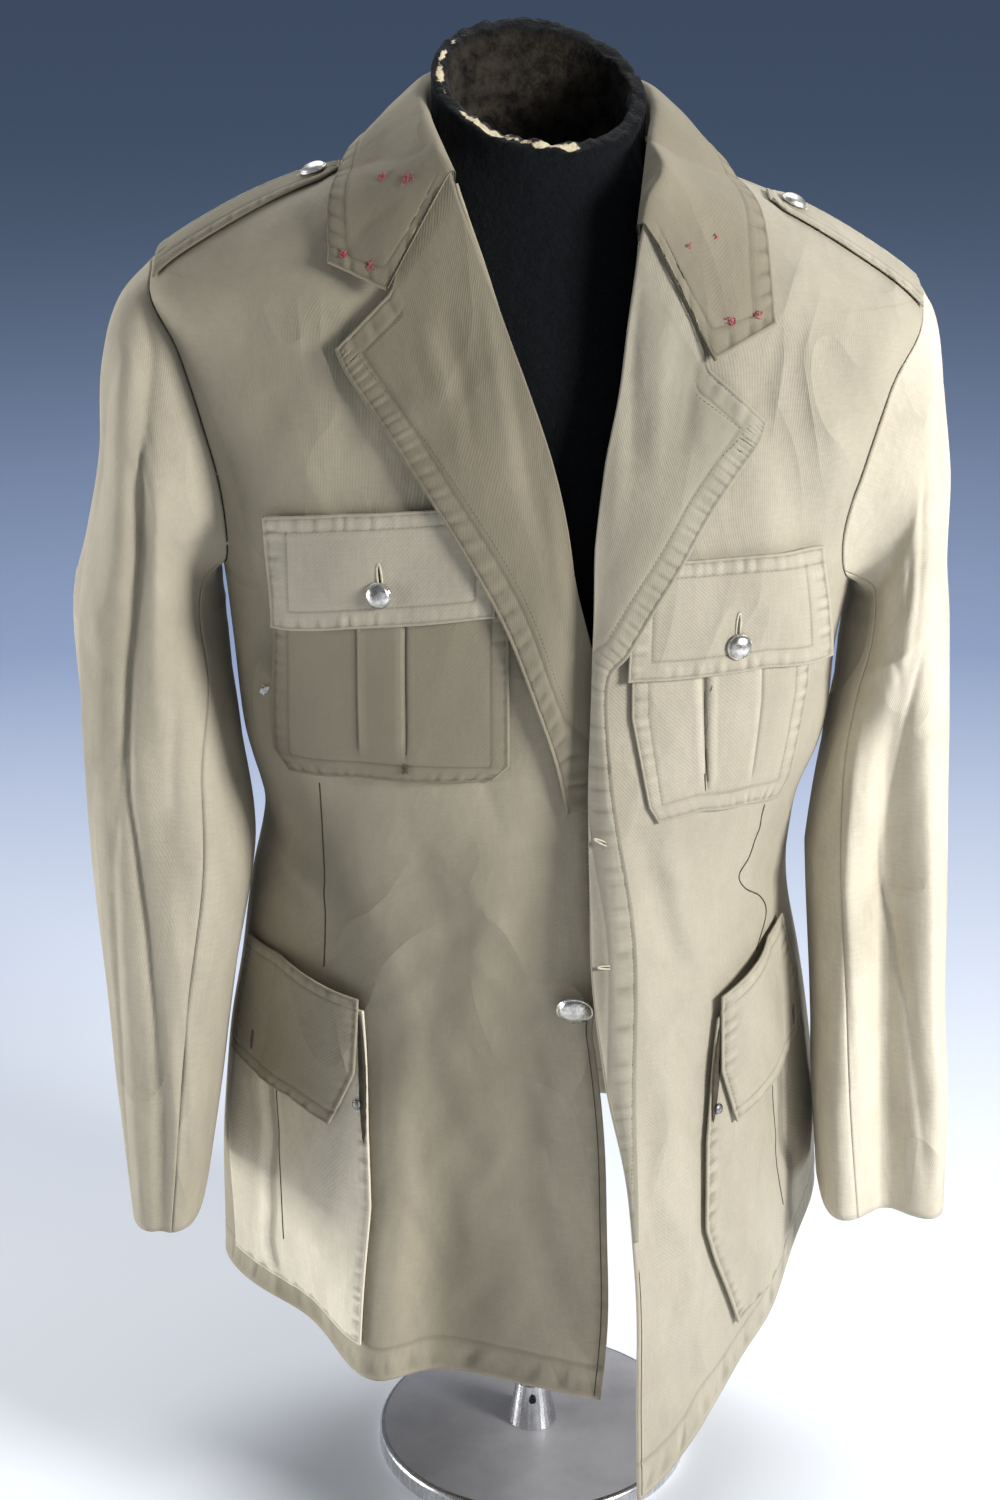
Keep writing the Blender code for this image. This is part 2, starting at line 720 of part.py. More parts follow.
def collar():
    places = np.linspace(0, 1, len(COLLAR))

    def place(s, t):
        point = along(COLLAR_ACROSS, along(places, np.array(COLLAR), s), t)
        rest = COLLAR_REST * smooth_step(t, COLLAR_ACROSS[1] - 0.2, COLLAR_ACROSS[1] + 0.1)
        return rested(point, rest) if t > COLLAR_ACROSS[1] - 0.05 else point

    return cloth("collar", 24, 7, place, KHAKI, COLLAR_CLOTH, outward=True)


# Shoulder straps.


def shoulder_point(side, x, y, lift):
    """The point on top of a shoulder at this x and y, moved out by lift."""
    low, high = 800.0, 900.0
    for _ in range(26):
        level = (low + high) / 2
        row = section(levels(side), level)
        if row.side_x <= abs(x):
            high = level
            continue
        ahead = y < row.side_y
        u = u_at(side, level, x, 0) if ahead else u_at(side, level, x, 0, 1.0, 2.0)
        if abs(ring_point(side, u, level)[1] - row.side_y) > abs(y - row.side_y):
            low = level
        else:
            high = level
    u = u_at(side, low, x, 0) if ahead else u_at(side, low, x, 0, 1.0, 2.0)
    return surface(side, u, low, lift)


def strap(side):
    def place(s, t):
        s = s if side < 0 else 1 - s
        x = side * (STRAP_END_X + s * (STRAP_TIP_X[side] - STRAP_END_X))
        front_y = np.interp(s, [0, 1], STRAP_FRONT_Y)
        back_y = np.interp(s, [0, 1], STRAP_BACK_Y)
        middle = (front_y + back_y) / 2
        point = 1 - 0.45 * smooth_step(s, 1 - STRAP_TAPER, 1)
        y = middle + ((front_y + t * (back_y - front_y)) - middle) * point
        return shoulder_point(side, x, y, STRAP_LIFT)

    return cloth("shoulder_strap_" + word(side), 10, 2, place, KHAKI, outward=True)


# Buttons: a domed face on a short shank, turned about its own axis.


def turned(name, profile, colour, steps):
    """A turned piece from (radius, height) points, top to bottom down its outer side."""
    mesh = bpy.data.meshes.new(name)
    points = [(radius * MM, 0, height * MM) for radius, height in profile]
    mesh.from_pydata(points, [(i, i + 1) for i in range(len(points) - 1)], [])
    obj = add_object(name, mesh, colour)
    screw = obj.modifiers.new("Turn", "SCREW")
    screw.steps = screw.render_steps = steps
    screw.use_merge_vertices = True
    screw.merge_threshold = SCREW_MERGE
    return obj


def domed(name, radius, rim, dome, steps, foot, normal):
    """A domed button whose back lies at foot and whose face points along normal."""
    arc = [math.radians(angle) for angle in (65, 42, 22, 4)]
    profile = [(0, rim + dome)]
    profile += [(radius * math.cos(a), rim + dome * math.sin(a)) for a in arc]
    profile += [(radius, rim * 0.4), (radius * 0.86, 0), (0, 0)]
    obj = turned(name, profile, WHITE_METAL, steps)
    turn = Vector(normal).to_track_quat("Z", "Y").to_matrix().to_4x4()
    obj.matrix_world = Matrix.Translation(metres(foot)) @ turn
    return obj


def seated(low, high, height):
    """The point this far above low, and the way up to high."""
    normal = (high - low) / np.linalg.norm(high - low)
    return low + normal * height, normal


def buttons(side):
    x, z = CHEST_BUTTON_AT[side]
    height = chest_flap_lift(0.5, 0.3) + CLOTH + BUTTON_GAP
    place = seated(on_front(side, x, z, 0), on_front(side, x, z, 10), height)
    name = "chest_button_" + word(side)
    domed(name, SMALL_BUTTON, BUTTON_RIM, SMALL_DOME, 20, *place)
    x, y = STRAP_BUTTON_AT[side]
    height = STRAP_LIFT + CLOTH + BUTTON_GAP
    place = seated(shoulder_point(side, x, y, 0), shoulder_point(side, x, y, 10), height)
    name = "strap_button_" + word(side)
    domed(name, SMALL_BUTTON, BUTTON_RIM, SMALL_DOME, 20, *place)
    x, z = STUD_AT[side]
    height = skirt_bag_lift(*STUD_SHARES[side]) + CLOTH + BUTTON_GAP
    place = seated(on_front(side, x, z, 0), on_front(side, x, z, 10), height)
    domed("pocket_stud_" + word(side), STUD_RADIUS, STUD_RIM, STUD_DOME, 12, *place)


def front_button():
    x, z = FRONT_BUTTON_AT
    place = seated(on_front(-1, x, z, 0), on_front(-1, x, z, 10), BUTTON_GAP)
    domed("front_button", FRONT_BUTTON, BUTTON_RIM, FRONT_DOME, 24, *place)


# The dress form and its stand.


def lofted(name, rings, colour):
    """A closed body through rings of points, with its first and last ring capped."""
    loft = bmesh.new()
    loops = [[loft.verts.new(metres(point)) for point in ring] for ring in rings]
    for low, high in zip(loops, loops[1:]):
        for i in range(len(low)):
            j = (i + 1) % len(low)
            loft.faces.new((low[i], low[j], high[j], high[i]))
    loft.faces.new(list(reversed(loops[0])))
    loft.faces.new(loops[-1])
    mesh = bpy.data.meshes.new(name)
    loft.to_mesh(mesh)
    loft.free()
    mesh.shade_smooth()
    return add_object(name, mesh, colour)


def form_ring(row):
    """An oval ring that starts in front and runs round by the left side."""
    ring = []
    for i in range(FORM_SIDES):
        angle = 2 * math.pi * i / FORM_SIDES
        across, ahead = math.sin(angle), math.cos(angle)
        reach = (abs(across) ** FORM_SQUARE + abs(ahead) ** FORM_SQUARE) ** (-1 / FORM_SQUARE)
        depth = -row.front_y if ahead > 0 else row.back_y
        ring.append((row.half_width * across * reach, -depth * ahead * reach, row.z))
    return ring


def shoulder_ring(share):
    """A ring just inside the cloth, so that the tunic rests on the form's shoulders.

    Share runs from 0 to 1 up the shoulders, and the ring dips in front as it rises.
    """
    lift = -(CLOTH + FORM_SEAT)
    level = FORM_SHOULDERS[0] + share * (FORM_SHOULDERS[1] - FORM_SHOULDERS[0])
    halves = []
    for side in (1, -1):
        turns = [max(i, 0.5) / (FORM_SIDES // 4) for i in range(FORM_SIDES // 2 + 1)]
        dips = [share * THROAT_DIP * (1 - smooth_step(u, 0, 0.7)) for u in turns]
        halves.append([surface(side, u, level - dip, lift) for u, dip in zip(turns, dips)])
    left, right = halves
    ring = left[:-1] + [(left[-1] + right[-1]) / 2] + right[-2:0:-1]
    ring[0] = (ring[1] + ring[-1]) / 2
    return ring


def neck_ring(z, inset=0.0, lean=0.0, dip=0.0):
    ring = []
    for i in range(FORM_SIDES):
        angle = 2 * math.pi * i / FORM_SIDES
        x = (NECK_RADIUS_X - inset) * math.sin(angle)
        y = -(NECK_RADIUS_Y - inset) * math.cos(angle)
        low = dip * max(math.cos(angle), 0) ** 1.5
        ring.append((x, y, z - low + lean * (NECK_LEAN_BACK * y + NECK_LEAN_SIDE * x)))
    return ring


def form():
    rings = [form_ring(row) for row in FORM_LEVELS]
    rings += [shoulder_ring(share) for share in (0, 0.3, 0.6, 0.8, 1)]
    rings += [neck_ring(NECK_FOOT, dip=THROAT_DIP), neck_ring(NECK_HEIGHT, lean=1)]
    rings += [neck_ring(NECK_HEIGHT, NECK_WALL, 1), neck_ring(NECK_FOOT, NECK_WALL)]
    rings += [neck_ring(NECK_HEIGHT - NECK_HOLLOW, NECK_WALL + 8)]
    return lofted("form_torso", rings, JERSEY)


def stand():
    edge = BASE_EDGE
    rim = [(0, BASE_HEIGHT), (BASE_RADIUS - edge, BASE_HEIGHT)]
    rim += [(BASE_RADIUS - 0.3 * edge, BASE_HEIGHT - 0.3 * edge), (BASE_RADIUS, BASE_HEIGHT - edge)]
    turned("stand_base", rim + [(BASE_RADIUS, 0), (0, 0)], BRUSHED_STEEL, 64)
    foot = BASE_HEIGHT + FACE_GAP
    top = foot + SOCKET_HEIGHT
    bore = POLE_RADIUS + SOCKET_BORE_GAP
    cone = [(bore, top), (SOCKET_TOP_RADIUS, top), (SOCKET_FOOT_RADIUS, foot), (bore, foot)]
    turned("stand_socket", cone + cone[:1], BRUSHED_STEEL, 32)
    top = BASE_HEIGHT + POLE_TOP - FACE_GAP
    pole = [(0, top), (POLE_RADIUS, top), (POLE_RADIUS, foot), (0, foot)]
    turned("stand_pole", pole, BRUSHED_STEEL, 24)
    radius, length = SET_SCREW_RADIUS, SET_SCREW_LENGTH
    screw = turned("set_screw", [(0, length), (radius, length), (radius, 0), (0, 0)], DARK_STEEL, 12)
    share = SET_SCREW_HEIGHT / SOCKET_HEIGHT
    out = SOCKET_FOOT_RADIUS + share * (SOCKET_TOP_RADIUS - SOCKET_FOOT_RADIUS) + SET_SCREW_GAP
    place = Matrix.Translation(Vector((0, -out, foot + SET_SCREW_HEIGHT)) * MM)
    screw.matrix_world = place @ Matrix.Rotation(math.radians(90), 4, "X")


# The build.

clear_scene()
PARTS = bpy.data.collections.new("drill_tunic_on_form")
bpy.context.scene.collection.children.link(PARTS)

stand()
form()
back_panel()
collar()
front_button()
for side in (-1, 1):
    front(side)
    lapel(side)
    for under in (False, True):
        sleeve_piece(side, under)
    patch("chest_pocket_" + word(side), side, CHEST_BAG[side], 9, 4, chest_bag_lift)
    patch("chest_flap_" + word(side), side, CHEST_FLAP[side], 7, 2, chest_flap_lift)
    patch("skirt_pocket_" + word(side), side, SKIRT_BAG[side], 7, 6, skirt_bag_lift)
    patch("skirt_flap_" + word(side), side, SKIRT_FLAP[side], 6, 3, skirt_flap_lift)
    strap(side)
    buttons(side)
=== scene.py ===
# %% [markdown]
# # A khaki drill tunic on a dress form
#
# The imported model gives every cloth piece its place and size. Here each piece is made again
# as fine cloth: the same body surface, drawn with far more points, with creases, puckered
# topstitching, seams, buttons and worn metal added. First the fixed frame is loaded.

import math
from collections import namedtuple
import bpy
import numpy as np
from mathutils import Matrix, Vector, kdtree, noise


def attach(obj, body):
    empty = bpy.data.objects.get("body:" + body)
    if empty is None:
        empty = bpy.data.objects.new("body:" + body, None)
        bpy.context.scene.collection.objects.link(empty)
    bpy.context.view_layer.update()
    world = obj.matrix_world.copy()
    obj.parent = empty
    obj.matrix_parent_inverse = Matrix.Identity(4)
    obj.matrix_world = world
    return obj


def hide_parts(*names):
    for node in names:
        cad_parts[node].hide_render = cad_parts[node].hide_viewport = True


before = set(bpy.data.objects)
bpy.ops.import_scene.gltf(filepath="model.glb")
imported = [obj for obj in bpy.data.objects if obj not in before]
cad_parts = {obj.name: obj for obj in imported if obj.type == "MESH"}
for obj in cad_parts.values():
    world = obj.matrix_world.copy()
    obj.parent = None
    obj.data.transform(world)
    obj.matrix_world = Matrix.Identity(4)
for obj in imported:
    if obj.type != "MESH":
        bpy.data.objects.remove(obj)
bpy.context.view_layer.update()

# %% [markdown]
# The camera stands in front of the tunic and looks down on it by about a fifth of a right
# angle. A long lens keeps the collar and the hem at nearly the same scale.

# %% Camera
CAMERA_PLACE, CAMERA_LOOKS_DOWN = (-0.023, -1.718, 1.194), 21.25
SENSOR_WIDTH, LENS_LENGTH = 36, 68.09
camera_data = bpy.data.cameras.new("tunic_camera")
camera_data.sensor_width, camera_data.lens = SENSOR_WIDTH, LENS_LENGTH
camera = bpy.data.objects.new("tunic_camera", camera_data)
camera.location = CAMERA_PLACE
camera.rotation_euler = (math.radians(90 - CAMERA_LOOKS_DOWN), 0, 0)
bpy.context.scene.collection.objects.link(camera)
bpy.context.scene.camera = camera
bpy.context.scene.view_settings.view_transform = "Standard"

# %% [markdown]
# ## The body surface
#
# A tailor's panels all lie on one surface: the chest, the back and the skirt. It is worked
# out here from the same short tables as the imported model, so that what is made here lies
# where the model says. Heights are in millimetres above the top of the round base.

# %% Tables of the body surface
MM = 0.001
BASE_HEIGHT, TOP_LEVEL = 14, 908
RIGHT, LEFT = -1, 1
WORD = {RIGHT: "right", LEFT: "left"}

# height, edge x, edge y, slope, square, side x, side y
FRONT_LEVELS = {
    RIGHT: np.array([
        (140, 42, -186, 0.33, 0.60, 215, 10), (190, 46, -182, 0.31, 0.60, 214, 8),
        (250, 45, -177, 0.28, 0.60, 211, 5), (310, 43, -170, 0.25, 0.60, 205, 3),
        (370, 37, -163, 0.21, 0.60, 195, 1), (430, 28, -155, 0.15, 0.62, 186, 0),
        (480, 24, -150, 0.11, 0.65, 176, 0), (540, 24, -145, 0.08, 0.69, 188, 0),
        (600, 26, -141, 0.09, 0.73, 193, 0), (650, 24, -137, 0.11, 0.79, 198, -2),
        (700, 18, -131, 0.12, 0.82, 208, -4), (740, 8, -124, 0.10, 0.84, 220, -4),
        (780, -6, -113, 0.08, 0.82, 231, -2), (817, -20, -101, 0.06, 0.72, 240, 0),
        (850, -32, -90, 0.05, 0.62, 199, 0), (875, -42, -82, 0.05, 0.58, 150, 0),
        (894, -49, -76, 0.05, 0.55, 97, 0), (908, -51, -70, 0.05, 0.55, 66, 0),
    ]),
    LEFT: np.array([
        (120, -62, -245, 1.15, 0.60, 200, 62), (190, -61, -230, 1.00, 0.60, 198, 50),
        (250, -60, -214, 0.82, 0.60, 194, 38), (310, -53, -200, 0.62, 0.60, 187, 28),
        (370, -40, -184, 0.42, 0.60, 177, 18), (430, -32, -172, 0.29, 0.60, 166, 8),
        (480, -30, -164, 0.23, 0.60, 166, 3), (540, -29, -157, 0.18, 0.66, 185, 0),
        (600, -30, -151, 0.15, 0.72, 191, -2), (650, -31, -146, 0.14, 0.78, 198, -4),
        (700, -32, -139, 0.13, 0.82, 208, -4), (740, -37, -132, 0.11, 0.84, 220, -4),
        (780, -45, -121, 0.08, 0.82, 231, -2), (817, -50, -109, 0.06, 0.72, 240, 0),
        (850, -55, -95, 0.05, 0.62, 199, 0), (875, -58, -84, 0.05, 0.58, 150, 0),
        (894, -60, -77, 0.05, 0.55, 97, 0), (908, -61, -71, 0.05, 0.55, 66, 0),
    ]),
}

# height, back y, fullness
BACK_LEVELS = np.array([
    (140, 172, 0.55), (250, 155, 0.55), (370, 126, 0.55), (460, 104, 0.55), (540, 106, 0.57),
    (650, 122, 0.60), (720, 128, 0.60), (780, 120, 0.58), (817, 106, 0.55), (850, 94, 0.52),
    (894, 74, 0.52), (908, 66, 0.52),
])

ARMHOLE_Z, ARMHOLE_RISE = 735, 89
ARMHOLE_FRONT, ARMHOLE_BACK = {RIGHT: 18, LEFT: 25}, 15
SHOULDER_DROP = 0.038
HEM_LEVEL = 140
SEAM, CLOTH, COLLAR_CLOTH = 0.9, 1.6, 2.0
HALVINGS = 18

# %% [markdown]
# Small tools for smooth curves through table rows. They take whole arrays at once, because
# each piece has tens of thousands of points.

# %% Smooth curves through rows
def along(places, values, at):
    """Smooth value at places between rows, by Hermite steps with the rows' own slopes."""
    places, values, at = (np.asarray(v, float) for v in (places, values, at))
    slopes = np.gradient(values, places, axis=0)
    i = np.clip(np.searchsorted(places, at) - 1, 0, len(places) - 2)
    span = places[i + 1] - places[i]
    t = (at - places[i]) / span
    if values.ndim > 1:
        shape = t.shape + (1,) * (values.ndim - 1)
        t, span = t.reshape(shape), span.reshape(shape)
    return hermite(t, span, values[i], values[i + 1], slopes[i], slopes[i + 1])


def hermite(t, span, low, high, low_slope, high_slope):
    t2, t3 = t * t, t * t * t
    return (
        (2 * t3 - 3 * t2 + 1) * low
        + (t3 - 2 * t2 + t) * span * low_slope
        + (3 * t2 - 2 * t3) * high
        + (t3 - t2) * span * high_slope
    )


def bezier(a, b, c, d, t):
    s = 1 - t
    return s * s * s * a + 3 * s * s * t * b + 3 * s * t * t * c + t * t * t * d


def part_way(value, low, high):
    return np.clip((np.asarray(value, float) - low) / (high - low), 0, 1)


def smooth_step(value, low, high):
    t = part_way(value, low, high)
    return t * t * (3 - 2 * t)


def hump(value, low, high):
    return np.sin(np.pi * part_way(value, low, high))


def bell(away, half_width):
    return np.exp(-((away / half_width) ** 2))


# %% [markdown]
# A point of the surface is found from the side it is on, its place round the body (0 at the
# front edge, 1 at the side seam, 2 at the centre back) and its height.

# %% The surface itself
def skirt_flute(side, u, z):
    middle, depth = (0.41, 46) if side < 0 else (0.50, 14)
    return depth * (1 - smooth_step(z, 130, 420)) * bell(u - middle, 0.10)


def lean_at(z):
    return SHOULDER_DROP * smooth_step(z, 560, 780)


def ring_point(side, u, z):
    u, z = np.broadcast_arrays(np.asarray(u, float), np.asarray(z, float))
    rows = FRONT_LEVELS[side]
    row = along(rows[:, 0], rows[:, 1:], z)
    edge_x, edge_y, slope, square, side_x, side_y = np.moveaxis(row, -1, 0)
    edge_x, side_x = -side * edge_x, side * side_x
    reach = side_x - edge_x
    front_y = edge_y + slope * abs(reach)
    flat = square - 0.1
    v = np.minimum(u, 1)
    front_x = bezier(edge_x, edge_x + flat * reach, side_x, side_x, v)
    low_y = edge_y + flat * slope * abs(reach)
    high_y = side_y - square * (side_y - front_y)
    front_line = bezier(edge_y, low_y, high_y, side_y, v) - skirt_flute(side, u, z)
    back_y, fullness = np.moveaxis(along(BACK_LEVELS[:, 0], BACK_LEVELS[:, 1:], z), -1, 0)
    w = np.maximum(u - 1, 0)
    back_x = bezier(side_x, side_x, fullness * side_x, 0, w)
    back_line = bezier(side_y, side_y + fullness * (back_y - side_y), back_y, back_y, w)
    x = np.where(u <= 1, front_x, back_x)
    y = np.where(u <= 1, front_line, back_line)
    return np.stack([x, y, z - lean_at(z) * x], axis=-1)


def unit(vectors):
    return vectors / np.maximum(np.linalg.norm(vectors, axis=-1, keepdims=True), 1e-9)


def surface(side, u, z, lift=0.0):
    u, z = np.broadcast_arrays(np.asarray(u, float), np.asarray(z, float))
    point = ring_point(side, u, z)
    low, high = np.maximum(u - 0.01, 0), np.minimum(u + 0.01, 2)
    across = ring_point(side, high, z) - ring_point(side, low, z)
    up = ring_point(side, u, np.minimum(z + 2, TOP_LEVEL)) - ring_point(side, u, z - 2)
    normal = unit(np.cross(across, up) * side)
    fold = body_folds(side, u, z, point)
    return point + (np.asarray(lift, float) + fold)[..., None] * normal


def side_x_at(side, z):
    return along(FRONT_LEVELS[side][:, 0], FRONT_LEVELS[side][:, 5], z)


def u_at(side, z, want, axis, low=0.0, high=1.0):
    """The place round the body at which a level has this x (axis 0) or y (axis 1)."""
    z = np.asarray(z, float)
    low, high = np.full(z.shape, float(low)), np.full(z.shape, float(high))
    rising = ring_point(side, high, z)[..., axis] > ring_point(side, low, z)[..., axis]
    for _ in range(HALVINGS):
        middle = (low + high) / 2
        below = (ring_point(side, middle, z)[..., axis] < want) == rising
        low, high = np.where(below, middle, low), np.where(below, high, middle)
    return (low + high) / 2


def outer_u(side, z, back=False):
    """Where a front or the back ends: at the armhole, or at the side or shoulder seam."""
    z = np.asarray(z, float)
    reach = np.sqrt(np.maximum(0, 1 - ((z - ARMHOLE_Z) / ARMHOLE_RISE) ** 2))
    inset, low = (ARMHOLE_BACK, 1.0) if back else (ARMHOLE_FRONT[side], 0.0)
    found = u_at(side, z, side * (side_x_at(side, z) - inset * reach), 0, low, low + 1)
    return np.where(reach > 0, found, 1.0)


def on_front(side, x, z, lift):
    """The point of a front at this x and height, moved out by lift."""
    level = np.asarray(z, float)
    for _ in range(4):
        level = np.minimum(z + lean_at(level) * x, TOP_LEVEL)
    return surface(side, u_at(side, level, x, 0), level, lift)


# %% [markdown]
# ## Creases
#
# Worn drill keeps soft, uneven creases. Each is one row of a table: x and z where it starts
# and where it ends, as seen from the front, how far it stands out (or sinks in, when the
# number is negative) and half its width.

# %% Creases of the body
def creased(rows, x, z):
    total = np.zeros(np.shape(x))
    for x_top, z_top, x_end, z_end, depth, half_width in rows:
        dx, dz = x_end - x_top, z_end - z_top
        run = ((x - x_top) * dx + (z - z_top) * dz) / (dx * dx + dz * dz)
        near = np.clip(run, 0, 1)
        away = np.hypot(x - x_top - near * dx, z - z_top - near * dz)
        fade = np.sin(np.pi * np.clip(near, 0.03, 0.97)) ** 0.7
        total += depth * fade * bell(away, half_width)
    return total


def rumpled(x, z, width, height, seed):
    """A soft, uneven swell: sums of waves of unlike lengths, from -1 to 1."""
    a, b = x / width, z / height
    one = np.sin(6.3 * a + 1.7 * np.sin(2.9 * b + seed) + seed)
    two = np.sin(4.1 * a - 3.3 * b + 2.3 * seed + 1.3 * np.sin(3.7 * a))
    three = np.sin(7.9 * b + 2.1 * np.sin(2.3 * a + seed) + 0.7 * seed)
    return (one + two + three) / 3


FRONT_CREASES = {
    RIGHT: [
        (-150, 700, -176, 560, -2.0, 9), (-178, 640, -172, 520, 2.0, 10), (-20, 520, -52, 330, 2.2, 16),
        (-74, 505, -40, 410, -1.8, 13), (-96, 470, -70, 300, 1.8, 14), (-8, 430, 12, 250, -1.6, 13),
        (-66, 385, -20, 290, 1.8, 13), (-30, 300, 20, 190, 1.8, 16), (-52, 290, -72, 150, -1.8, 14),
        (-84, 350, -88, 190, 2.0, 9), (-10, 250, -46, 170, -1.6, 12), (-178, 500, -150, 430, -1.6, 10),
        (-176, 470, -128, 445, 1.4, 8), (-132, 300, -140, 180, 1.6, 11), (-190, 300, -186, 180, -2.0, 10),
        (-60, 780, -110, 730, 1.2, 12), (-126, 800, -170, 740, -1.4, 12), (-72, 506, -18, 446, 0.8, 6),
        (-24, 484, -66, 404, -0.7, 5), (-36, 446, -96, 376, 0.8, 7), (-18, 404, 10, 330, 0.7, 5),
        (-22, 352, -84, 254, 0.8, 8), (-44, 256, 6, 304, -0.8, 5), (-4, 336, -46, 250, 0.8, 6),
        (-6, 240, -70, 176, 0.8, 7), (-92, 274, -58, 204, -0.8, 5), (12, 236, -26, 156, 0.7, 5),
        (-36, 560, -20, 500, -0.7, 5), (-120, 500, -96, 420, 0.6, 5), (-50, 440, 2, 392, 0.6, 6),
        (-54, 214, -88, 150, 0.6, 5), (-150, 760, -120, 690, 0.6, 6),
    ],
    LEFT: [
        (120, 800, 174, 640, -2.2, 12), (150, 810, 186, 700, 1.8, 10), (60, 520, 88, 430, -1.8, 9),
        (76, 505, 96, 420, 2.0, 8), (70, 420, 86, 260, 1.6, 12), (66, 360, 72, 200, -1.4, 9),
        (92, 300, 96, 170, 2.0, 9), (124, 470, 160, 436, -1.6, 8), (150, 520, 168, 450, 1.6, 9),
        (130, 250, 146, 180, 1.6, 10), (84, 200, 112, 130, -1.8, 10), (70, 500, 100, 470, 0.7, 5),
        (64, 470, 104, 404, -0.7, 5), (98, 440, 74, 360, 0.7, 6), (66, 310, 98, 246, 0.7, 5),
        (100, 270, 76, 190, -0.7, 5), (110, 230, 130, 170, 0.6, 5), (120, 510, 150, 486, 0.6, 5),
        (104, 790, 136, 730, 0.8, 7), (160, 770, 190, 700, -0.7, 6),
    ],
}
BACK_CREASES = [
    (-120, 800, -60, 700, 2.2, 14), (118, 790, 70, 690, -2.0, 12), (-30, 760, -44, 560, 1.8, 16),
    (60, 640, 96, 480, 2.2, 13), (-96, 620, -120, 470, -2.2, 12), (14, 560, -8, 360, -1.8, 15),
    (-60, 430, -84, 200, 3.0, 18), (40, 400, 66, 190, -3.0, 17), (110, 380, 134, 190, 2.6, 15),
    (-140, 360, -150, 210, -2.4, 14), (4, 330, 16, 180, 2.4, 16),
]


def body_folds(side, u, z, point):
    x, high = point[..., 0], point[..., 2]
    in_front = 1.7 * creased(FRONT_CREASES[side], x, high) + 1.2 * rumpled(x, high, 70, 120, 1.0 + side)
    behind = 1.4 * creased(BACK_CREASES, x, high) + 1.6 * rumpled(x, high, 90, 140, 2.0)
    turn = smooth_step(u, 0.86, 1.14)
    at_armhole = smooth_step(abs(z - ARMHOLE_Z), ARMHOLE_RISE, ARMHOLE_RISE + 60)
    calm_side = 1 - bell(u - 1, 0.16) * (1 - 0.6 * at_armhole)
    calm_top = 1 - smooth_step(z, 800, 850)
    return (in_front * (1 - turn) + behind * turn) * calm_side * calm_top


counts = [len(rows) for rows in (FRONT_CREASES[RIGHT], FRONT_CREASES[LEFT], BACK_CREASES)]
print("creases, right, left and back:", counts)

# %% [markdown]
# ## Finishes
#
# Drill is a twill of thick cotton yarn. Close to, it shows fine slanting ribs and slubs in
# the yarn. From afar it shows soft fading and grey patches that vary at random. Its ridges
# are paler, partly rubbing wear and partly painted highlight, and its rows and hollows are
# darker as painted shade. The weave follows each piece's own UV map, in metres, so that it
# lies along the cloth's grain. The painted highlight and shade follow an attribute that
# holds each point's relief.

# %% Tools for finishes
def finish(name):
    made = bpy.data.materials.new(name)
    made.use_nodes = True
    made.node_tree.nodes.clear()
    tree = made.node_tree
    shader = tree.nodes.new("ShaderNodeBsdfPrincipled")
    out = tree.nodes.new("ShaderNodeOutputMaterial")
    tree.links.new(shader.outputs["BSDF"], out.inputs["Surface"])
    return made, tree, shader


def plug(tree, node, inputs):
    """Fill a node's inputs: a socket is linked, and a value is written in."""
    for key, value in inputs.items():
        if isinstance(value, bpy.types.NodeSocket):
            tree.links.new(value, node.inputs[key])
        else:
            node.inputs[key].default_value = value


def add_node(tree, kind, inputs=(), **settings):
    node = tree.nodes.new("ShaderNode" + kind)
    for key, value in settings.items():
        setattr(node, key, value)
    plug(tree, node, dict(inputs))
    return node


def noise_at(tree, place, scale, detail=3.0, roughness=0.55, stretch=(1, 1, 1), shift=(0, 0, 0)):
    moved = add_node(tree, "Mapping", {"Vector": place, "Scale": stretch, "Location": shift})
    settings = {"Vector": moved.outputs[0], "Scale": scale, "Detail": detail, "Roughness": roughness}
    return add_node(tree, "TexNoise", settings).outputs["Fac"]


def ranged(tree, value, low, high, to_low=0.0, to_high=1.0):
    settings = {"Value": value, "From Min": low, "From Max": high, "To Min": to_low, "To Max": to_high}
    return add_node(tree, "MapRange", settings).outputs["Result"]


def mixed(tree, share, low, high):
    low, high = (c if isinstance(c, bpy.types.NodeSocket) else (*c, 1) for c in (low, high))
    return add_node(tree, "Mix", {0: share, 6: low, 7: high}, data_type="RGBA").outputs[2]


def summed(tree, one, two, operation="ADD"):
    return add_node(tree, "Math", {0: one, 1: two}, operation=operation).outputs[0]


def raised(tree, strength, distance, height, under=None):
    """A bump of this height in metres, laid over the bump under it."""
    inputs = {"Strength": strength, "Distance": distance, "Height": height}
    if under is not None:
        inputs["Normal"] = under
    return add_node(tree, "Bump", inputs).outputs[0]


# %% [markdown]
# Drill is built up in this order: two slow noises fade it, the relief paints highlight on its
# ridges and shade in its rows, then yarn and specks are added. Three bumps follow, from the
# broad crossing folds of crushed cloth to the ribs of the weave.

# %% Drill
def ridged_folds(tree, place, turn):
    """Sharp crossing ridges, as where the cloth was crushed in a pile."""
    turned = {"Vector": place, "Rotation": (0.2, 0.5 + turn, 0.3), "Scale": (1.5, 1, 0.8)}
    ridges = {"Vector": add_node(tree, "Mapping", turned).outputs[0], "Scale": 12, "Detail": 1.5,
              "Roughness": 0.45, "Distortion": 0.5, "Offset": 1.0, "Gain": 1.0}
    return add_node(tree, "TexNoise", ridges, noise_type="RIDGED_MULTIFRACTAL").outputs["Fac"]


GREY_WEAR = (0.18, 0.165, 0.13)


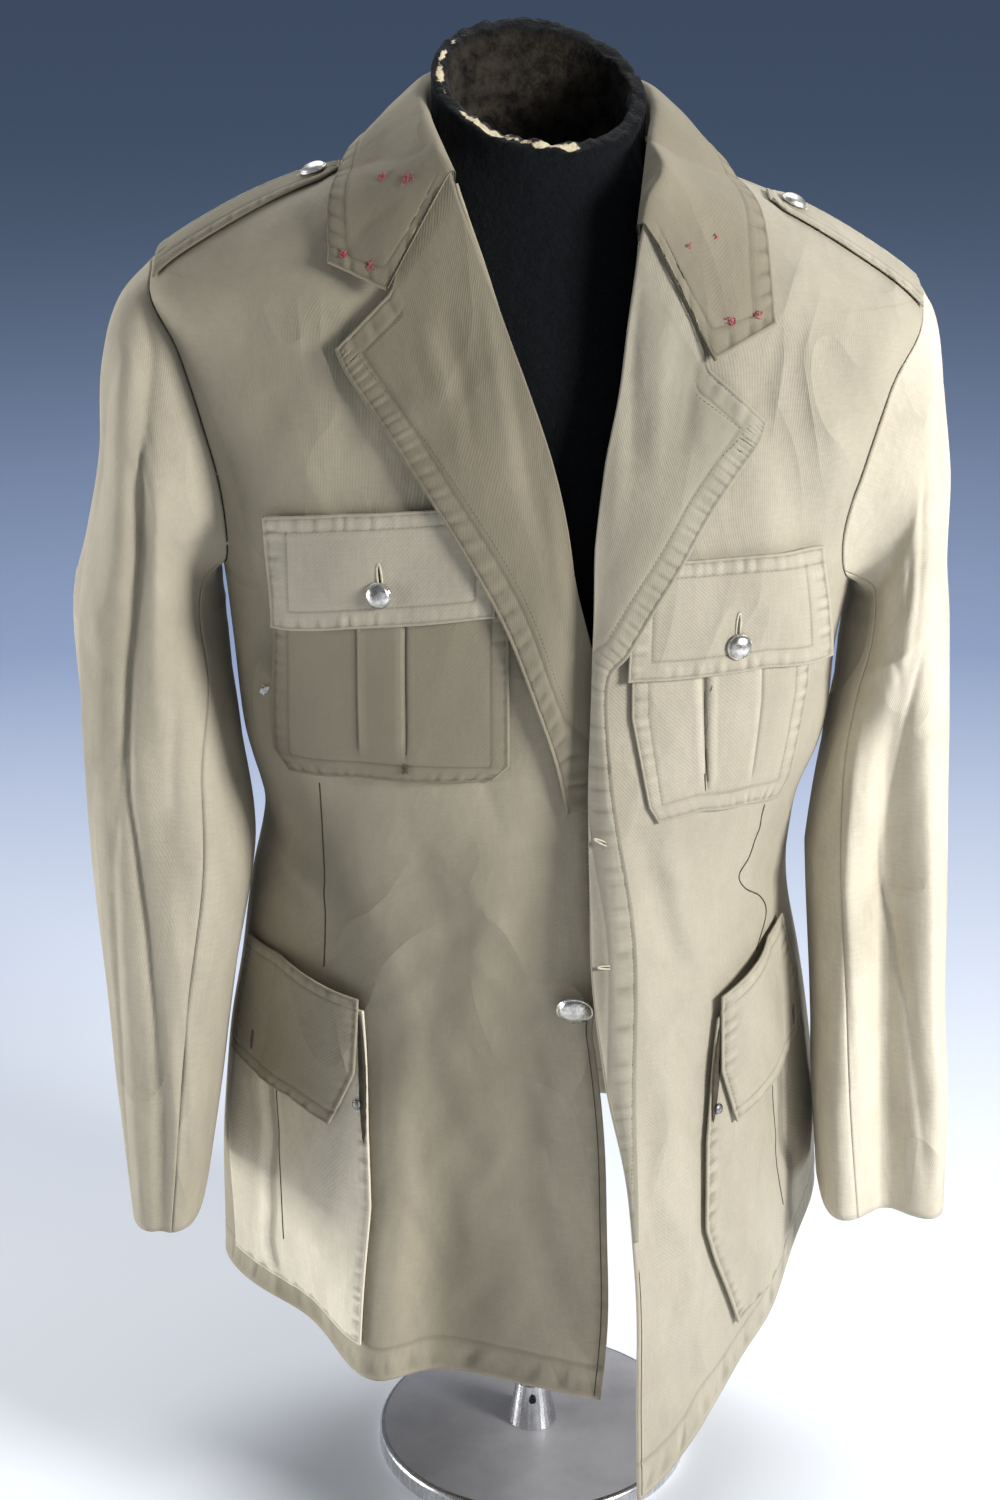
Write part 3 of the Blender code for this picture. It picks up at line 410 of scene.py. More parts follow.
def drill(name, pale, deep, shift=0.0, crumple=1.0):
    made, tree, shader = finish(name)
    place = add_node(tree, "TexCoord").outputs["Object"]
    cut = add_node(tree, "UVMap", uv_map="grain").outputs[0]
    relief = add_node(tree, "Attribute", attribute_name="relief").outputs["Fac"]
    faded = noise_at(tree, place, 7, 4, 0.6, (1, 1, 0.42), (shift, 0, 0))
    patches = noise_at(tree, place, 22, 4, 0.65, (1, 1, 0.7), (0, shift, 0))
    specks = noise_at(tree, place, 160, 3, 0.6)
    slubs = noise_at(tree, cut, 900, 2, 0.5, (1, 0.06, 1))
    cross = noise_at(tree, cut, 900, 2, 0.5, (0.06, 1, 1))
    yarn = summed(tree, slubs, cross, "MULTIPLY")
    tone = mixed(tree, ranged(tree, faded, 0.32, 0.68), deep, pale)
    # Patches, yarn and specks vary the tone at random. The two relief rows paint highlight on ridges, which
    # also stands for rubbing wear, and paint shade in rows and troughs.
    for source, low, high, to_low, to_high, over in (
        (patches, 0.45, 0.8, 0.0, 0.26, GREY_WEAR),
        (relief, 0.05, 0.6, 0.0, 0.40, tuple(1.3 * c for c in pale)),
        (relief, -0.06, -0.5, 0.0, 0.60, tuple(0.48 * c for c in deep)),
        (yarn, 0.16, 0.34, 0.12, 0.0, GREY_WEAR),
        (specks, 0.55, 0.72, 0.0, 0.10, pale),
    ):
        tone = mixed(tree, ranged(tree, source, low, high, to_low, to_high), tone, over)
    ribs = add_node(tree, "TexWave", {"Vector": cut, "Scale": 210, "Distortion": 1.2, "Detail": 1.0},
                    wave_type="BANDS", bands_direction="DIAGONAL").outputs["Fac"]
    where = ranged(tree, noise_at(tree, place, 6, 2, 0.5, (1, 1, 1), (shift, 3, 1)), 0.38, 0.62)
    folds = summed(tree, ridged_folds(tree, place, shift), where, "MULTIPLY")
    crushed = raised(tree, 0.55 * crumple, 0.006, folds)
    worn = raised(tree, 0.55, 0.0032, patches, crushed)
    fine = raised(tree, 0.30, 0.00025, summed(tree, ribs, yarn), worn)
    plug(tree, shader, {
        "Base Color": tone, "Normal": fine, "Roughness": ranged(tree, specks, 0.3, 0.7, 0.82, 0.96),
        "Specular IOR Level": 0.22, "Sheen Weight": 0.18, "Sheen Roughness": 0.5,
        "Sheen Tint": (0.9, 0.86, 0.74, 1),
    })
    return made


# One drill in seven copies. Their tones differ for the light that falls on their pieces: painted light on the
# left sleeve and the right skirt pocket, and painted shade on the right front and sleeve, the collar, the
# right lapel, chest pocket and strap, and the left lapel.
SHADED_RIGHT_DRILL = drill("drill_right_front_painted_shade", (0.42, 0.376, 0.285), (0.275, 0.244, 0.177))
LEFT_DRILL = drill("drill_left_front", (0.47, 0.43, 0.345), (0.345, 0.312, 0.243), shift=3.1)
SHADED_SLEEVE_DRILL = drill("drill_right_sleeve_painted_shade", (0.50, 0.453, 0.36), (0.36, 0.323, 0.246), shift=5.7, crumple=0.8)
PAINTED_LIGHT_DRILL = drill("drill_left_sleeve_painted_light", (0.75, 0.69, 0.565), (0.59, 0.535, 0.42), shift=6.9, crumple=0.8)
DEEP_SHADE_DRILL = drill("drill_collar_painted_shade", (0.28, 0.249, 0.182), (0.20, 0.176, 0.126), shift=8.3, crumple=0.4)
SHADED_LAPEL_DRILL = drill("drill_left_lapel_painted_shade", (0.375, 0.346, 0.278), (0.28, 0.255, 0.198), shift=9.7, crumple=0.6)
BACK_DRILL = drill("drill_back", (0.46, 0.412, 0.315), (0.34, 0.298, 0.218), shift=11.9)
print("drill finishes made")

# %% [markdown]
# Thread, metal, jersey and foam have finishes of their own. Each is kept small: a base
# colour, one noise that varies it and one that roughens it.

# %% Other finishes
def plain_finish(name, pale, deep, scale, roughness, metallic=0.0, bump=0.0, stretch=(1, 1, 1)):
    made, tree, shader = finish(name)
    place = add_node(tree, "TexCoord").outputs["Object"]
    coarse = noise_at(tree, place, scale, 4, 0.6, stretch)
    fine = noise_at(tree, place, scale * 6, 3, 0.6, stretch)
    tone = mixed(tree, ranged(tree, coarse, 0.35, 0.65), deep, pale)
    plug(tree, shader, {"Base Color": tone, "Roughness": ranged(tree, fine, 0.3, 0.7, *roughness),
                        "Metallic": metallic})
    if bump:
        plug(tree, shader, {"Normal": raised(tree, 0.5, bump, fine)})
    return made


# The sewing thread is darker than the drill: partly its own colour and partly painted shade for the groove
# each row lies in.
SEWING_THREAD = plain_finish("sewing_thread", (0.13, 0.105, 0.068), (0.07, 0.056, 0.036), 300, (0.7, 0.9))
SEAM_SHADE = plain_finish("seam_shade", (0.075, 0.062, 0.042), (0.04, 0.033, 0.022), 200, (0.85, 0.95))
PALE_THREAD = plain_finish("buttonhole_thread", (0.62, 0.58, 0.46), (0.42, 0.38, 0.28), 260, (0.7, 0.9))
PURPLE_THREAD = plain_finish("flap_hole_thread", (0.16, 0.11, 0.12), (0.10, 0.06, 0.075), 260, (0.7, 0.9))
PINK_THREAD = plain_finish("rank_thread", (0.50, 0.10, 0.14), (0.34, 0.07, 0.09), 400, (0.7, 0.95))
WHITE_LINT = plain_finish("lint", (0.9, 0.9, 0.92), (0.7, 0.7, 0.74), 300, (0.85, 0.95))
WHITE_METAL = plain_finish("worn_white_metal", (0.86, 0.85, 0.82), (0.42, 0.40, 0.36), 260,
                           (0.16, 0.42), 1.0, 0.00012)
# A paler, rougher copy of the white metal, for the strap buttons.
PALER_ROUGHER_METAL = plain_finish("paler_rougher_white_metal", (0.92, 0.91, 0.88), (0.62, 0.60, 0.56), 260,
                            (0.36, 0.52), 1.0, 0.00012)
DARK_METAL = plain_finish("dull_stud_metal", (0.42, 0.42, 0.43), (0.12, 0.11, 0.11), 500,
                          (0.25, 0.5), 1.0, 0.0001)
BASE_STEEL = plain_finish("painted_base_steel", (0.50, 0.50, 0.53), (0.41, 0.41, 0.44), 24,
                          (0.34, 0.5), 0.35, 0.00008)
BRIGHT_STEEL = plain_finish("bright_socket_steel", (0.72, 0.72, 0.74), (0.5, 0.5, 0.52), 60,
                            (0.2, 0.34), 1.0, 0.00004, (6, 6, 0.6))
SCREW_STEEL = plain_finish("blackened_screw", (0.06, 0.06, 0.065), (0.03, 0.03, 0.032), 500,
                           (0.35, 0.55), 1.0)
# The paper's blue is its own tint; its darkening further back is painted shade for light that falls off.
PAPER_FROM_TO = (0.2, 5.5)
PAPER_WHITE, PAPER_MIDDLE, PAPER_SLATE = (0.90, 0.93, 0.97), (0.34, 0.43, 0.64), (0.30, 0.42, 0.62)


def floor_finish():
    """Studio paper, near white where the stand rests, bluer and darker further back; the darkening is painted
    shade.
    """
    made, tree, shader = finish("graduated_paper")
    place = add_node(tree, "TexCoord").outputs["Object"]
    depth = add_node(tree, "SeparateXYZ", {"Vector": place}).outputs["Y"]
    mottle = summed(tree, noise_at(tree, place, 1.2, 2, 0.5), 0.04, "MULTIPLY")
    shade = summed(tree, ranged(tree, depth, *PAPER_FROM_TO), mottle)
    near = mixed(tree, ranged(tree, shade, 0, 0.3), PAPER_WHITE, PAPER_MIDDLE)
    tone = mixed(tree, ranged(tree, shade, 0.3, 1.0), near, PAPER_SLATE)
    plug(tree, shader, {"Base Color": tone, "Roughness": 0.9, "Specular IOR Level": 0.1})
    return made


def form_finish():
    """Black jersey, with cream foam where the cover is worn off and a dark hollow inside."""
    made, tree, shader = finish("jersey_over_foam")
    place = add_node(tree, "TexCoord").outputs["Object"]
    foam = add_node(tree, "Attribute", attribute_name="foam").outputs["Fac"]
    hollow = add_node(tree, "Attribute", attribute_name="hollow").outputs["Fac"]
    ragged = noise_at(tree, place, 75, 5, 0.7)
    knit = noise_at(tree, place, 900, 2, 0.5, (1, 1, 0.5))
    lint = noise_at(tree, place, 420, 3, 0.75)
    jersey = mixed(tree, ranged(tree, knit, 0.35, 0.65), (0.0024, 0.003, 0.004), (0.005, 0.006, 0.008))
    jersey = mixed(tree, ranged(tree, lint, 0.74, 0.82, 0.0, 0.25), jersey, (0.10, 0.10, 0.11))
    cream = mixed(tree, ranged(tree, ragged, 0.3, 0.7), (0.48, 0.38, 0.22), (0.74, 0.66, 0.47))
    brown = mixed(tree, ranged(tree, ragged, 0.38, 0.62), (0.004, 0.0035, 0.003), (0.034, 0.028, 0.021))
    bare = ranged(tree, summed(tree, foam, summed(tree, ragged, 0.5, "SUBTRACT")), 0.46, 0.54)
    plug(tree, shader, {
        "Base Color": mixed(tree, hollow, mixed(tree, bare, jersey, cream), brown),
        "Roughness": ranged(tree, lint, 0.3, 0.7, 0.88, 1.0),
        "Normal": raised(tree, 0.3, 0.0003, knit, raised(tree, 0.8, 0.0035, ragged)),
        "Specular IOR Level": 0.12, "Sheen Weight": 0.05,
    })
    return made


FLOOR_PAPER, JERSEY = floor_finish(), form_finish()
print("other finishes made")

# %% [markdown]
# ## Cutting a piece of cloth
#
# A piece is cut as a fine grid, added with the grid operator. Each point of the grid then
# moves to its place on the body, and out or in by the piece's own relief: its stitched
# lines and puckers. Solidify gives the cloth its thickness. The flat size of the cut is
# measured on the shape: its longest row, its longest column and its area.

# %% A fine cloth piece
Cloth = namedtuple("Cloth", "name place relief thickness outward flip")
BODY = "root"
LEAST_SHARE = 0.32
CUT_STEPS = 60


def metres(points):
    return (points + np.array([0, 0, BASE_HEIGHT])) * MM


def share_grid(obj):
    co = np.empty(len(obj.data.vertices) * 3)
    obj.data.vertices.foreach_get("co", co)
    co = co.reshape(-1, 3)
    return np.clip(co[:, 0] + 0.5, 0, 1), np.clip(co[:, 1] + 0.5, 0, 1)


def cut_size(cloth):
    """(width, length, area) of the flat cut, in metres, measured on the piece's surface.

    A piece that is a triangle with a long tail is stated as a narrower strip of its area.
    """
    shares = np.linspace(0, 1, CUT_STEPS)
    s, t = np.meshgrid(shares, shares)
    points = cloth.place(s.ravel(), t.ravel(), np.zeros(s.size)).reshape(CUT_STEPS, CUT_STEPS, 3) * MM
    across = np.linalg.norm(np.diff(points, axis=1), axis=2).sum(axis=1)
    down = np.linalg.norm(np.diff(points, axis=0), axis=2).sum(axis=0)
    one = np.cross(points[1:, :-1] - points[:-1, :-1], points[:-1, 1:] - points[:-1, :-1])
    two = np.cross(points[:-1, 1:] - points[1:, 1:], points[1:, :-1] - points[1:, 1:])
    area = (np.linalg.norm(one, axis=2).sum() + np.linalg.norm(two, axis=2).sum()) / 2
    width, length = across.max(), down.max()
    width = min(width, area / (LEAST_SHARE * length))
    return width, max(length, area / width), area


def sew_on(obj, node=None):
    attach(obj, BODY)
    if node:
        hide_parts(node)


def dress(obj, finish_used):
    obj.data.materials.clear()
    obj.data.materials.append(finish_used)


def mesh_object(name, points, faces):
    """A new object in the scene, from points in millimetres and faces."""
    mesh = bpy.data.meshes.new(name)
    mesh.from_pydata(metres(points).tolist(), [], faces)
    obj = bpy.data.objects.new(name, mesh)
    bpy.context.scene.collection.objects.link(obj)
    return obj


def local_relief(relief, columns, rows, reach=4):
    """How far each point stands out of the cloth round it: only rows and edges are shaded."""
    table = relief.reshape(rows + 1, columns + 1)
    wide = np.pad(table, reach, mode="edge")
    steps = range(0, 2 * reach + 1, 2)
    around = sum(wide[i : i + rows + 1, j : j + columns + 1] for i in steps for j in steps)
    return (table - around / len(steps) ** 2).ravel()


def cut_cloth(cloth, columns, rows, finish_used, node, held, *rests_on):
    bpy.ops.object.select_all(action="DESELECT")
    bpy.ops.mesh.primitive_grid_add(x_subdivisions=columns, y_subdivisions=rows, size=1)
    obj = bpy.context.object
    obj.name = obj.data.name = cloth.name
    s, t = share_grid(obj)
    along_s = 1 - s if cloth.flip else s
    relief = cloth.relief(along_s, t)
    obj.data.vertices.foreach_set("co", metres(cloth.place(along_s, t, relief)).ravel())
    width, length, area = cut_size(cloth)
    grain = obj.data.uv_layers.active
    grain.name = "grain"
    corner = np.empty(len(obj.data.loops), int)
    obj.data.loops.foreach_get("vertex_index", corner)
    flat = np.stack([along_s[corner] * width, t[corner] * length], axis=1)
    grain.data.foreach_set("uv", flat.ravel())
    # The relief attribute carries the painted highlight and shade of rows and edges.
    shade = obj.data.attributes.new("relief", "FLOAT", "POINT")
    shade.data.foreach_set("value", np.clip(local_relief(relief, columns, rows), -1, 1))
    wall = obj.modifiers.new("Wall", "SOLIDIFY")
    wall.thickness, wall.offset = cloth.thickness * MM, 1 if cloth.outward else -1
    wall.use_even_offset = True
    bpy.ops.object.modifier_apply(modifier="Wall")
    bpy.ops.object.shade_smooth()
    dress(obj, finish_used)
    sew_on(obj, node)
    print(f"{cloth.name}: cut {1000 * width:.0f} x {1000 * length:.0f} mm, {10000 * area:.0f} cm2")


# %% [markdown]
# ## Stitched rows
#
# Topstitching pulls the cloth down along its row, and the cloth between the row and the
# edge puckers, because it shrinks less than the thread. Each row is a line of points in
# millimetres from the piece's lower front corner. The same rows make the relief of the
# cloth and place the stitches.

# %% Rows and puckers
def line_distance(a, b, corners):
    nearest = np.full(np.shape(a), 1e9)
    for (a0, b0), (a1, b1) in zip(corners, corners[1:]):
        da, db = a1 - a0, b1 - b0
        run = np.clip(((a - a0) * da + (b - b0) * db) / (da * da + db * db + 1e-9), 0, 1)
        nearest = np.minimum(nearest, np.hypot(a - a0 - run * da, b - b0 - run * db))
    return nearest


def stitched_relief(a, b, width, height, rows, band, seed, pucker=0.26, sides="lrbt"):
    """Troughs along rows, puckers between the edge and its row, and a firm turned edge."""
    total = np.zeros(np.shape(a))
    for row in rows:
        total -= 0.5 * bell(line_distance(a, b, row), 1.25)
    gaps = {"l": a, "r": width - a, "b": b, "t": height - b}
    edge = np.minimum.reduce([gaps[side] for side in sides])
    upright = np.minimum.reduce([gaps[side] for side in sides if side in "lr"])
    run = np.where(upright <= edge + 1e-6, b + 31, a)
    swell = np.sin(run * 0.66 + 1.3 * np.sin(run * 0.11 + seed)) + 0.7 * np.sin(run * 1.07 + 2 * seed)
    total += pucker * hump(edge, 0, band) * swell * (0.6 + 0.4 * np.sin(run * 0.05 + seed))
    return total + 0.35 * bell(edge, 1.6)


def evenly(points, ups, pitch):
    """The line's own points, and the ways up there, drawn again this far apart."""
    steps = np.linalg.norm(np.diff(points, axis=0), axis=1)
    run = np.concatenate([[0], np.cumsum(steps)])
    count = max(int(run[-1] / pitch), 1)
    at = (np.arange(count) + 0.5) * run[-1] / count
    columns = [np.interp(at, run, column) for column in np.concatenate([points, ups], axis=1).T]
    return np.stack(columns[:3], axis=1), unit(np.stack(columns[3:], axis=1))


STITCH_PITCH, STITCH_LONG, STITCH_WIDE, STITCH_HIGH = 2.8, 2.5, 0.62, 0.34
STITCH_SHAPE = np.array([(-1, 0, 0), (0, -1, 0), (1, 0, 0), (0, 1, 0), (0, 0, 1), (0, 0, -1)], float)
STITCH_FACES = [(0, 1, 4), (1, 2, 4), (2, 3, 4), (3, 0, 4), (1, 0, 5), (2, 1, 5), (3, 2, 5), (0, 3, 5)]


class Stitching:
    """Collects the stitches of several rows and makes them one mesh."""

    def __init__(self, name, thread):
        self.name, self.thread, self.points, self.count = name, thread, [], 0

    def sew(self, line, normals):
        centre, up = evenly(line, normals, STITCH_PITCH)
        ahead = unit(np.gradient(centre, axis=0)) if len(centre) > 1 else unit(line[-1:] - line[:1])
        aside = unit(np.cross(up, ahead))
        half = np.array([STITCH_LONG, STITCH_WIDE, STITCH_HIGH]) / 2
        axes = np.stack([ahead, aside, up], axis=1)
        self.points.append(centre[:, None] + (STITCH_SHAPE * half) @ axes)
        self.count += len(centre)

    def make(self, rests):
        faces = np.array(STITCH_FACES)[None] + 6 * np.arange(self.count)[:, None, None]
        points = np.concatenate(self.points).reshape(-1, 3)
        obj = mesh_object(self.name, points, faces.reshape(-1, 3).tolist())
        dress(obj, self.thread)
        sew_on(obj)
        print(f"{self.name}: {self.count} stitches on {rests}")


def top_line(cloth, s, t):
    """(points, normals) on the outer face of a piece."""
    on_top = cloth.relief(s, t) + (cloth.thickness if cloth.outward else 0)
    low, high = cloth.place(s, t, on_top), cloth.place(s, t, on_top + 1)
    return low, unit(high - low)


def cloth_line(cloth, corners, width, height):
    """(points, normals) on a piece along corners, which are in its own millimetres."""
    line = []
    for (a0, b0), (a1, b1) in zip(corners, corners[1:]):
        share = np.linspace(0, 1, max(int(math.hypot(a1 - a0, b1 - b0)), 2))[:, None]
        line.append(np.array([(a0, b0)]) * (1 - share) + np.array([(a1, b1)]) * share)
    line = np.concatenate(line)
    return top_line(cloth, np.clip(line[:, 0] / width, 0, 1), np.clip(line[:, 1] / height, 0, 1))

# %% [markdown]
# ## Fronts and back
#
# The two fronts and the back are the large panels. Their rows lie closer together at the
# hem, where the turned-up cloth puckers along its row of stitches. The front edges have a
# row close to the edge.

# %% Panels
def spaced(values, t):
    return np.interp(np.asarray(t, float) * (len(values) - 1), range(len(values)), values)


ARMHOLE_LEVELS = [ARMHOLE_Z - ARMHOLE_RISE * math.cos(math.radians(a)) for a in range(0, 181, 6)]
HEM_LEVELS = list(np.linspace(HEM_LEVEL, HEM_LEVEL + 30, 16)[:-1])
SKIRT_LEVELS = list(np.linspace(HEM_LEVEL + 30, ARMHOLE_LEVELS[0], 115)[:-1])
SHOULDER_LEVELS = list(np.linspace(ARMHOLE_LEVELS[-1], 893, 24)[1:])
PANEL_LEVELS = HEM_LEVELS + SKIRT_LEVELS + ARMHOLE_LEVELS + SHOULDER_LEVELS
PANEL_START, SEAM_U = 0.004, SEAM / 2 / 200
HEM_DEPTH, UNDERLAP = 22, 11
FRONT_WIDE, BACK_WIDE, EDGE_ROW = 330, 470, 3.4


def hem_shift(side, u):
    if side < 0:
        return 36 * smooth_step(u, 1.0, 1.8)
    return -32 + 72 * smooth_step(u, 0, 0.75) - 4 * smooth_step(u, 1.0, 1.8)


def neck_shift(side, u):
    drop = 3 if side < 0 else 30
    rise = 11 * smooth_step(u, 0.3, 1.0) - 6 * smooth_step(u, 1.0, 1.6)
    return rise - drop * (1 - smooth_step(u, 0, 0.45))


def panel_level(side, u, z):
    hem = hem_shift(side, u) * (1 - smooth_step(z, HEM_LEVEL, 420))
    return z + hem + neck_shift(side, u) * smooth_step(z, 830, 893)


def hem_relief(around, z, seed):
    """The puckered hem: around is the distance along it and z the height above its level."""
    above = z - HEM_LEVEL
    band = hump(above, 0, HEM_DEPTH) * (above < HEM_DEPTH)
    drift = around + 5 * np.sin(around * 0.047 + seed) + 0.35 * above * np.sin(around * 0.031 + 2 * seed)
    swell = np.sin(drift * 0.41) + 0.6 * np.sin(drift * 0.67 + seed) + 0.5 * np.sin(drift * 0.23 + 3 * seed)
    uneven = 0.5 + 0.5 * np.sin(around * 0.06 + 4 * seed) ** 2
    return 0.3 * band * swell * uneven - 0.45 * bell(above - HEM_DEPTH, 1.6) + 0.4 * bell(above, 2.5)


def underlap(side, z):
    """How far the right front runs on beneath the left one, at the waist."""
    return UNDERLAP * smooth_step(z, 385, 425) * (1 - smooth_step(z, 600, 680)) * (side < 0)


def front_cloth(side):
    def at(s, t):
        z = spaced(PANEL_LEVELS, t)
        end = outer_u(side, z) - SEAM_U
        return PANEL_START + s * (end - PANEL_START), z

    def place(s, t, lift):
        u, z = at(s, t)
        point = surface(side, u, panel_level(side, u, z), lift)
        point[..., 0] += underlap(side, z) * (1 - smooth_step(s, 0, 0.12))
        return point

    def relief(s, t):
        _, z = at(s, t)
        edge = s * FRONT_WIDE
        turned = 0.35 * bell(edge, 1.4) - 0.4 * bell(edge - EDGE_ROW, 1.3)
        ripple = 0.10 * np.sin(z * 0.45 + 1.4 * np.sin(z * 0.06)) * bell(edge, 5)
        live = 1 - smooth_step(z, 560, 500) if side > 0 else 1
        return hem_relief(edge, z, 1.0 + side) + (turned + ripple) * live

    return Cloth(f"{WORD[side]}_front_cloth", place, relief, CLOTH, False, side < 0)


def back_place(s, t, lift):
    z = spaced(PANEL_LEVELS, t)
    halves = []
    for side in (LEFT, RIGHT):
        start = outer_u(side, z, back=True) + SEAM_U
        u = start + (1 - abs(2 * s - 1)) * (2 - start)
        halves.append(surface(side, u, panel_level(side, u, z), lift))
    return np.where((np.asarray(s) < 0.5)[..., None], halves[0], halves[1])


def back_relief(s, t):
    seam = abs(s - 0.5) * BACK_WIDE
    groove = -0.7 * bell(seam, 2.4) + 0.25 * bell(seam - 5, 3)
    return hem_relief(s * BACK_WIDE, spaced(PANEL_LEVELS, t), 5.0) + groove


RIGHT_FRONT, LEFT_FRONT = front_cloth(RIGHT), front_cloth(LEFT)
BACK = Cloth("back_cloth", back_place, back_relief, CLOTH, False, False)
cut_cloth(RIGHT_FRONT, 104, 176, SHADED_RIGHT_DRILL, "front_right", "hung", "form_cover")
cut_cloth(LEFT_FRONT, 100, 176, LEFT_DRILL, "front_left", "hung", "form_cover")
cut_cloth(BACK, 110, 150, BACK_DRILL, "back", "hung", "form_cover")

# %% [markdown]
# ## Sleeves
#
# A tailored sleeve has two pieces, a wide top sleeve and a narrow under sleeve. They hang
# from the armhole a little forward, and drill that has been stored flat keeps long folds
# down the arm. Each fold is a row: where it lies round the sleeve in degrees, at its top and
# its end, from which share of the length to which, how deep it is and half its width.

# %% Tables of the sleeves
# outer x, outer z, inner x, inner z, middle y, half depth
SLEEVE_RINGS = {
    RIGHT: [
        (255, 811, 203, 637, -6, 78), (266, 775, 207, 627, -7, 78), (271, 720, 208, 611, -9, 76),
        (281, 664, 204, 592, -12, 73), (289, 622, 198, 568, -16, 70), (287, 556, 190, 527, -27, 66),
        (282, 474, 182, 464, -44, 66), (274, 384, 195, 380, -58, 67), (269, 306, 206, 300, -66, 67),
        (263, 233, 217, 232, -71, 64),
    ],
    LEFT: [
        (243, 798, 204, 628, -6, 78), (248, 758, 207, 618, -7, 78), (254, 706, 206, 603, -9, 76),
        (256, 650, 203, 586, -12, 73), (259, 606, 197, 563, -16, 70), (261, 540, 189, 520, -26, 67),
        (263, 462, 184, 455, -40, 67), (264, 372, 184, 372, -54, 67), (268, 300, 184, 300, -64, 66),
        (268, 232, 188, 230, -70, 64),
    ],
}
SEAM_PLACES = (0, 0.2, 0.35, 0.5, 0.6, 0.75, 1)
FRONT_SEAM = {RIGHT: (160, 158, 156, 148, 127, 110, 98), LEFT: (150, 150, 150, 154, 153, 140, 120)}
BACK_SEAM = 236
SLEEVE_SQUARE = 0.35
SEAM_TURN, ARMHOLE_GAP = 0.22, 0.5

LARGE_FOLDS = {
    RIGHT: [(250, 290, 0.20, 0.75, 8, 20)],
    LEFT: [(100, 88, 0.42, 1.16, 38, 34), (255, 290, 0.25, 0.80, 8, 20)],
}
# How far the under sleeve swells towards the body, at these shares of its length.
SWELL_PLACES = (0, 0.05, 0.1, 0.2, 0.3, 0.4, 0.5, 0.6, 0.7, 0.85, 1)
SWELL = {RIGHT: (0, 0, 4, 9, 12, 9, 4.5, 2, 2, 0, 0), LEFT: (0, 0, 5, 11, 13, 11.5, 6.5, 6, 11, 3, 0)}
SWELL_TURN, SWELL_HALF = 198, 26
# A crease is a line of (share of the length, turn), its depth, half its width and the
# depth of the sharp line in it. A depth below 0 stands out as a ridge.
SHARP_TURN = 3.2
SLEEVE_CREASES = {
    RIGHT: [
        (((0.012, 34), (0.05, 58), (0.093, 76), (0.17, 85), (0.263, 87), (0.353, 86), (0.457, 84),
          (0.547, 77), (0.633, 66), (0.70, 58)), 6.5, 11, 3.4),
        (((0.07, 50), (0.2, 62), (0.38, 64), (0.52, 52)), -4.0, 12, 0),
        (((0.07, 96), (0.25, 106), (0.4, 105), (0.56, 100)), -3.2, 10, 0),
        (((0.08, 46), (0.2, 38), (0.38, 30)), 2.4, 7, 0.8),
        (((0.46, 86), (0.57, 76), (0.643, 73), (0.703, 77), (0.743, 82), (0.793, 86), (0.887, 90),
          (1.04, 89)), 2.0, 4.5, 2.2),
        (((0.58, 84), (0.7, 86), (0.8, 95), (1.04, 99)), -2.4, 7, 0),
        (((0.68, 92), (0.75, 97), (0.807, 105), (0.943, 124)), -2.0, 5, 0),
        (((0.66, 58), (0.8, 50), (0.98, 46)), 2.0, 6, 0.6),
        (((0.60, 66), (0.72, 66), (0.98, 70)), -1.8, 8, 0),
        (((0.12, 122), (0.30, 130), (0.46, 124)), 1.8, 6, 0.5),
        (((0.50, 118), (0.60, 104), (0.66, 98)), 1.6, 5, 0.6),
        (((0.22, 20), (0.40, 10), (0.60, 16)), 2.4, 8, 0.5),
        (((0.52, 30), (0.66, 22), (0.90, 26)), -2.0, 8, 0),
    ],
    LEFT: [
        (((0.60, 118), (0.703, 108), (0.743, 84), (0.793, 68), (0.867, 61), (0.97, 53)), 2.6, 6, 1.4),
        (((0.50, 144), (0.7, 138), (0.753, 131), (0.903, 113), (1.02, 100)), -2.6, 7, 0),
        (((0.06, 124), (0.3, 136), (0.52, 138)), -2.2, 9, 0),
        (((0.06, 78), (0.3, 88), (0.5, 92)), 1.3, 8, 0.3),
        (((0.04, 58), (0.2, 66), (0.42, 72)), -1.2, 8, 0),
        (((0.44, 74), (0.6, 88), (0.68, 102)), 1.4, 6, 0.5),
        (((0.55, 62), (0.7, 54), (0.95, 38)), -1.4, 7, 0),
        (((0.30, 122), (0.42, 112), (0.50, 98)), 1.4, 5, 0.6),
        (((0.20, 44), (0.36, 34), (0.56, 38)), 1.4, 6, 0.5),
        (((0.66, 40), (0.80, 30), (0.98, 26)), 1.8, 7, 0.6),
        (((0.14, 108), (0.24, 102), (0.34, 106)), 1.0, 5, 0.4),
        (((0.18, 18), (0.40, 8), (0.62, 12)), -1.8, 9, 0),
    ],
}
SMALL_FOLDS = {
    RIGHT: [
        (10, 350, 0.30, 0.70, 2.0, 9), (340, 330, 0.20, 0.80, -2.4, 9), (305, 296, 0.35, 0.95, 2.2, 9),
        (270, 262, 0.50, 0.98, -2.4, 9), (322, 350, 0.55, 0.90, 2.0, 8),
    ],
    LEFT: [
        (8, 352, 0.30, 0.80, -2.2, 9), (336, 328, 0.20, 0.72, 2.2, 9), (306, 300, 0.40, 0.92, -2.4, 9),
        (272, 266, 0.45, 0.95, 2.2, 9), (318, 340, 0.62, 0.96, 2.0, 8),
    ],
}


# %% Sleeve shape
def armhole_point(side, turn):
    angle = np.radians(turn)
    z = ARMHOLE_Z + ARMHOLE_RISE * np.cos(angle)
    ahead = surface(side, outer_u(side, z), z)
    behind = surface(side, outer_u(side, z, back=True), z)
    return np.where((np.sin(angle) < 0)[..., None], behind, ahead)


def squared(value, share):
    return np.sign(value) * np.abs(value) ** (1 - SLEEVE_SQUARE * share)


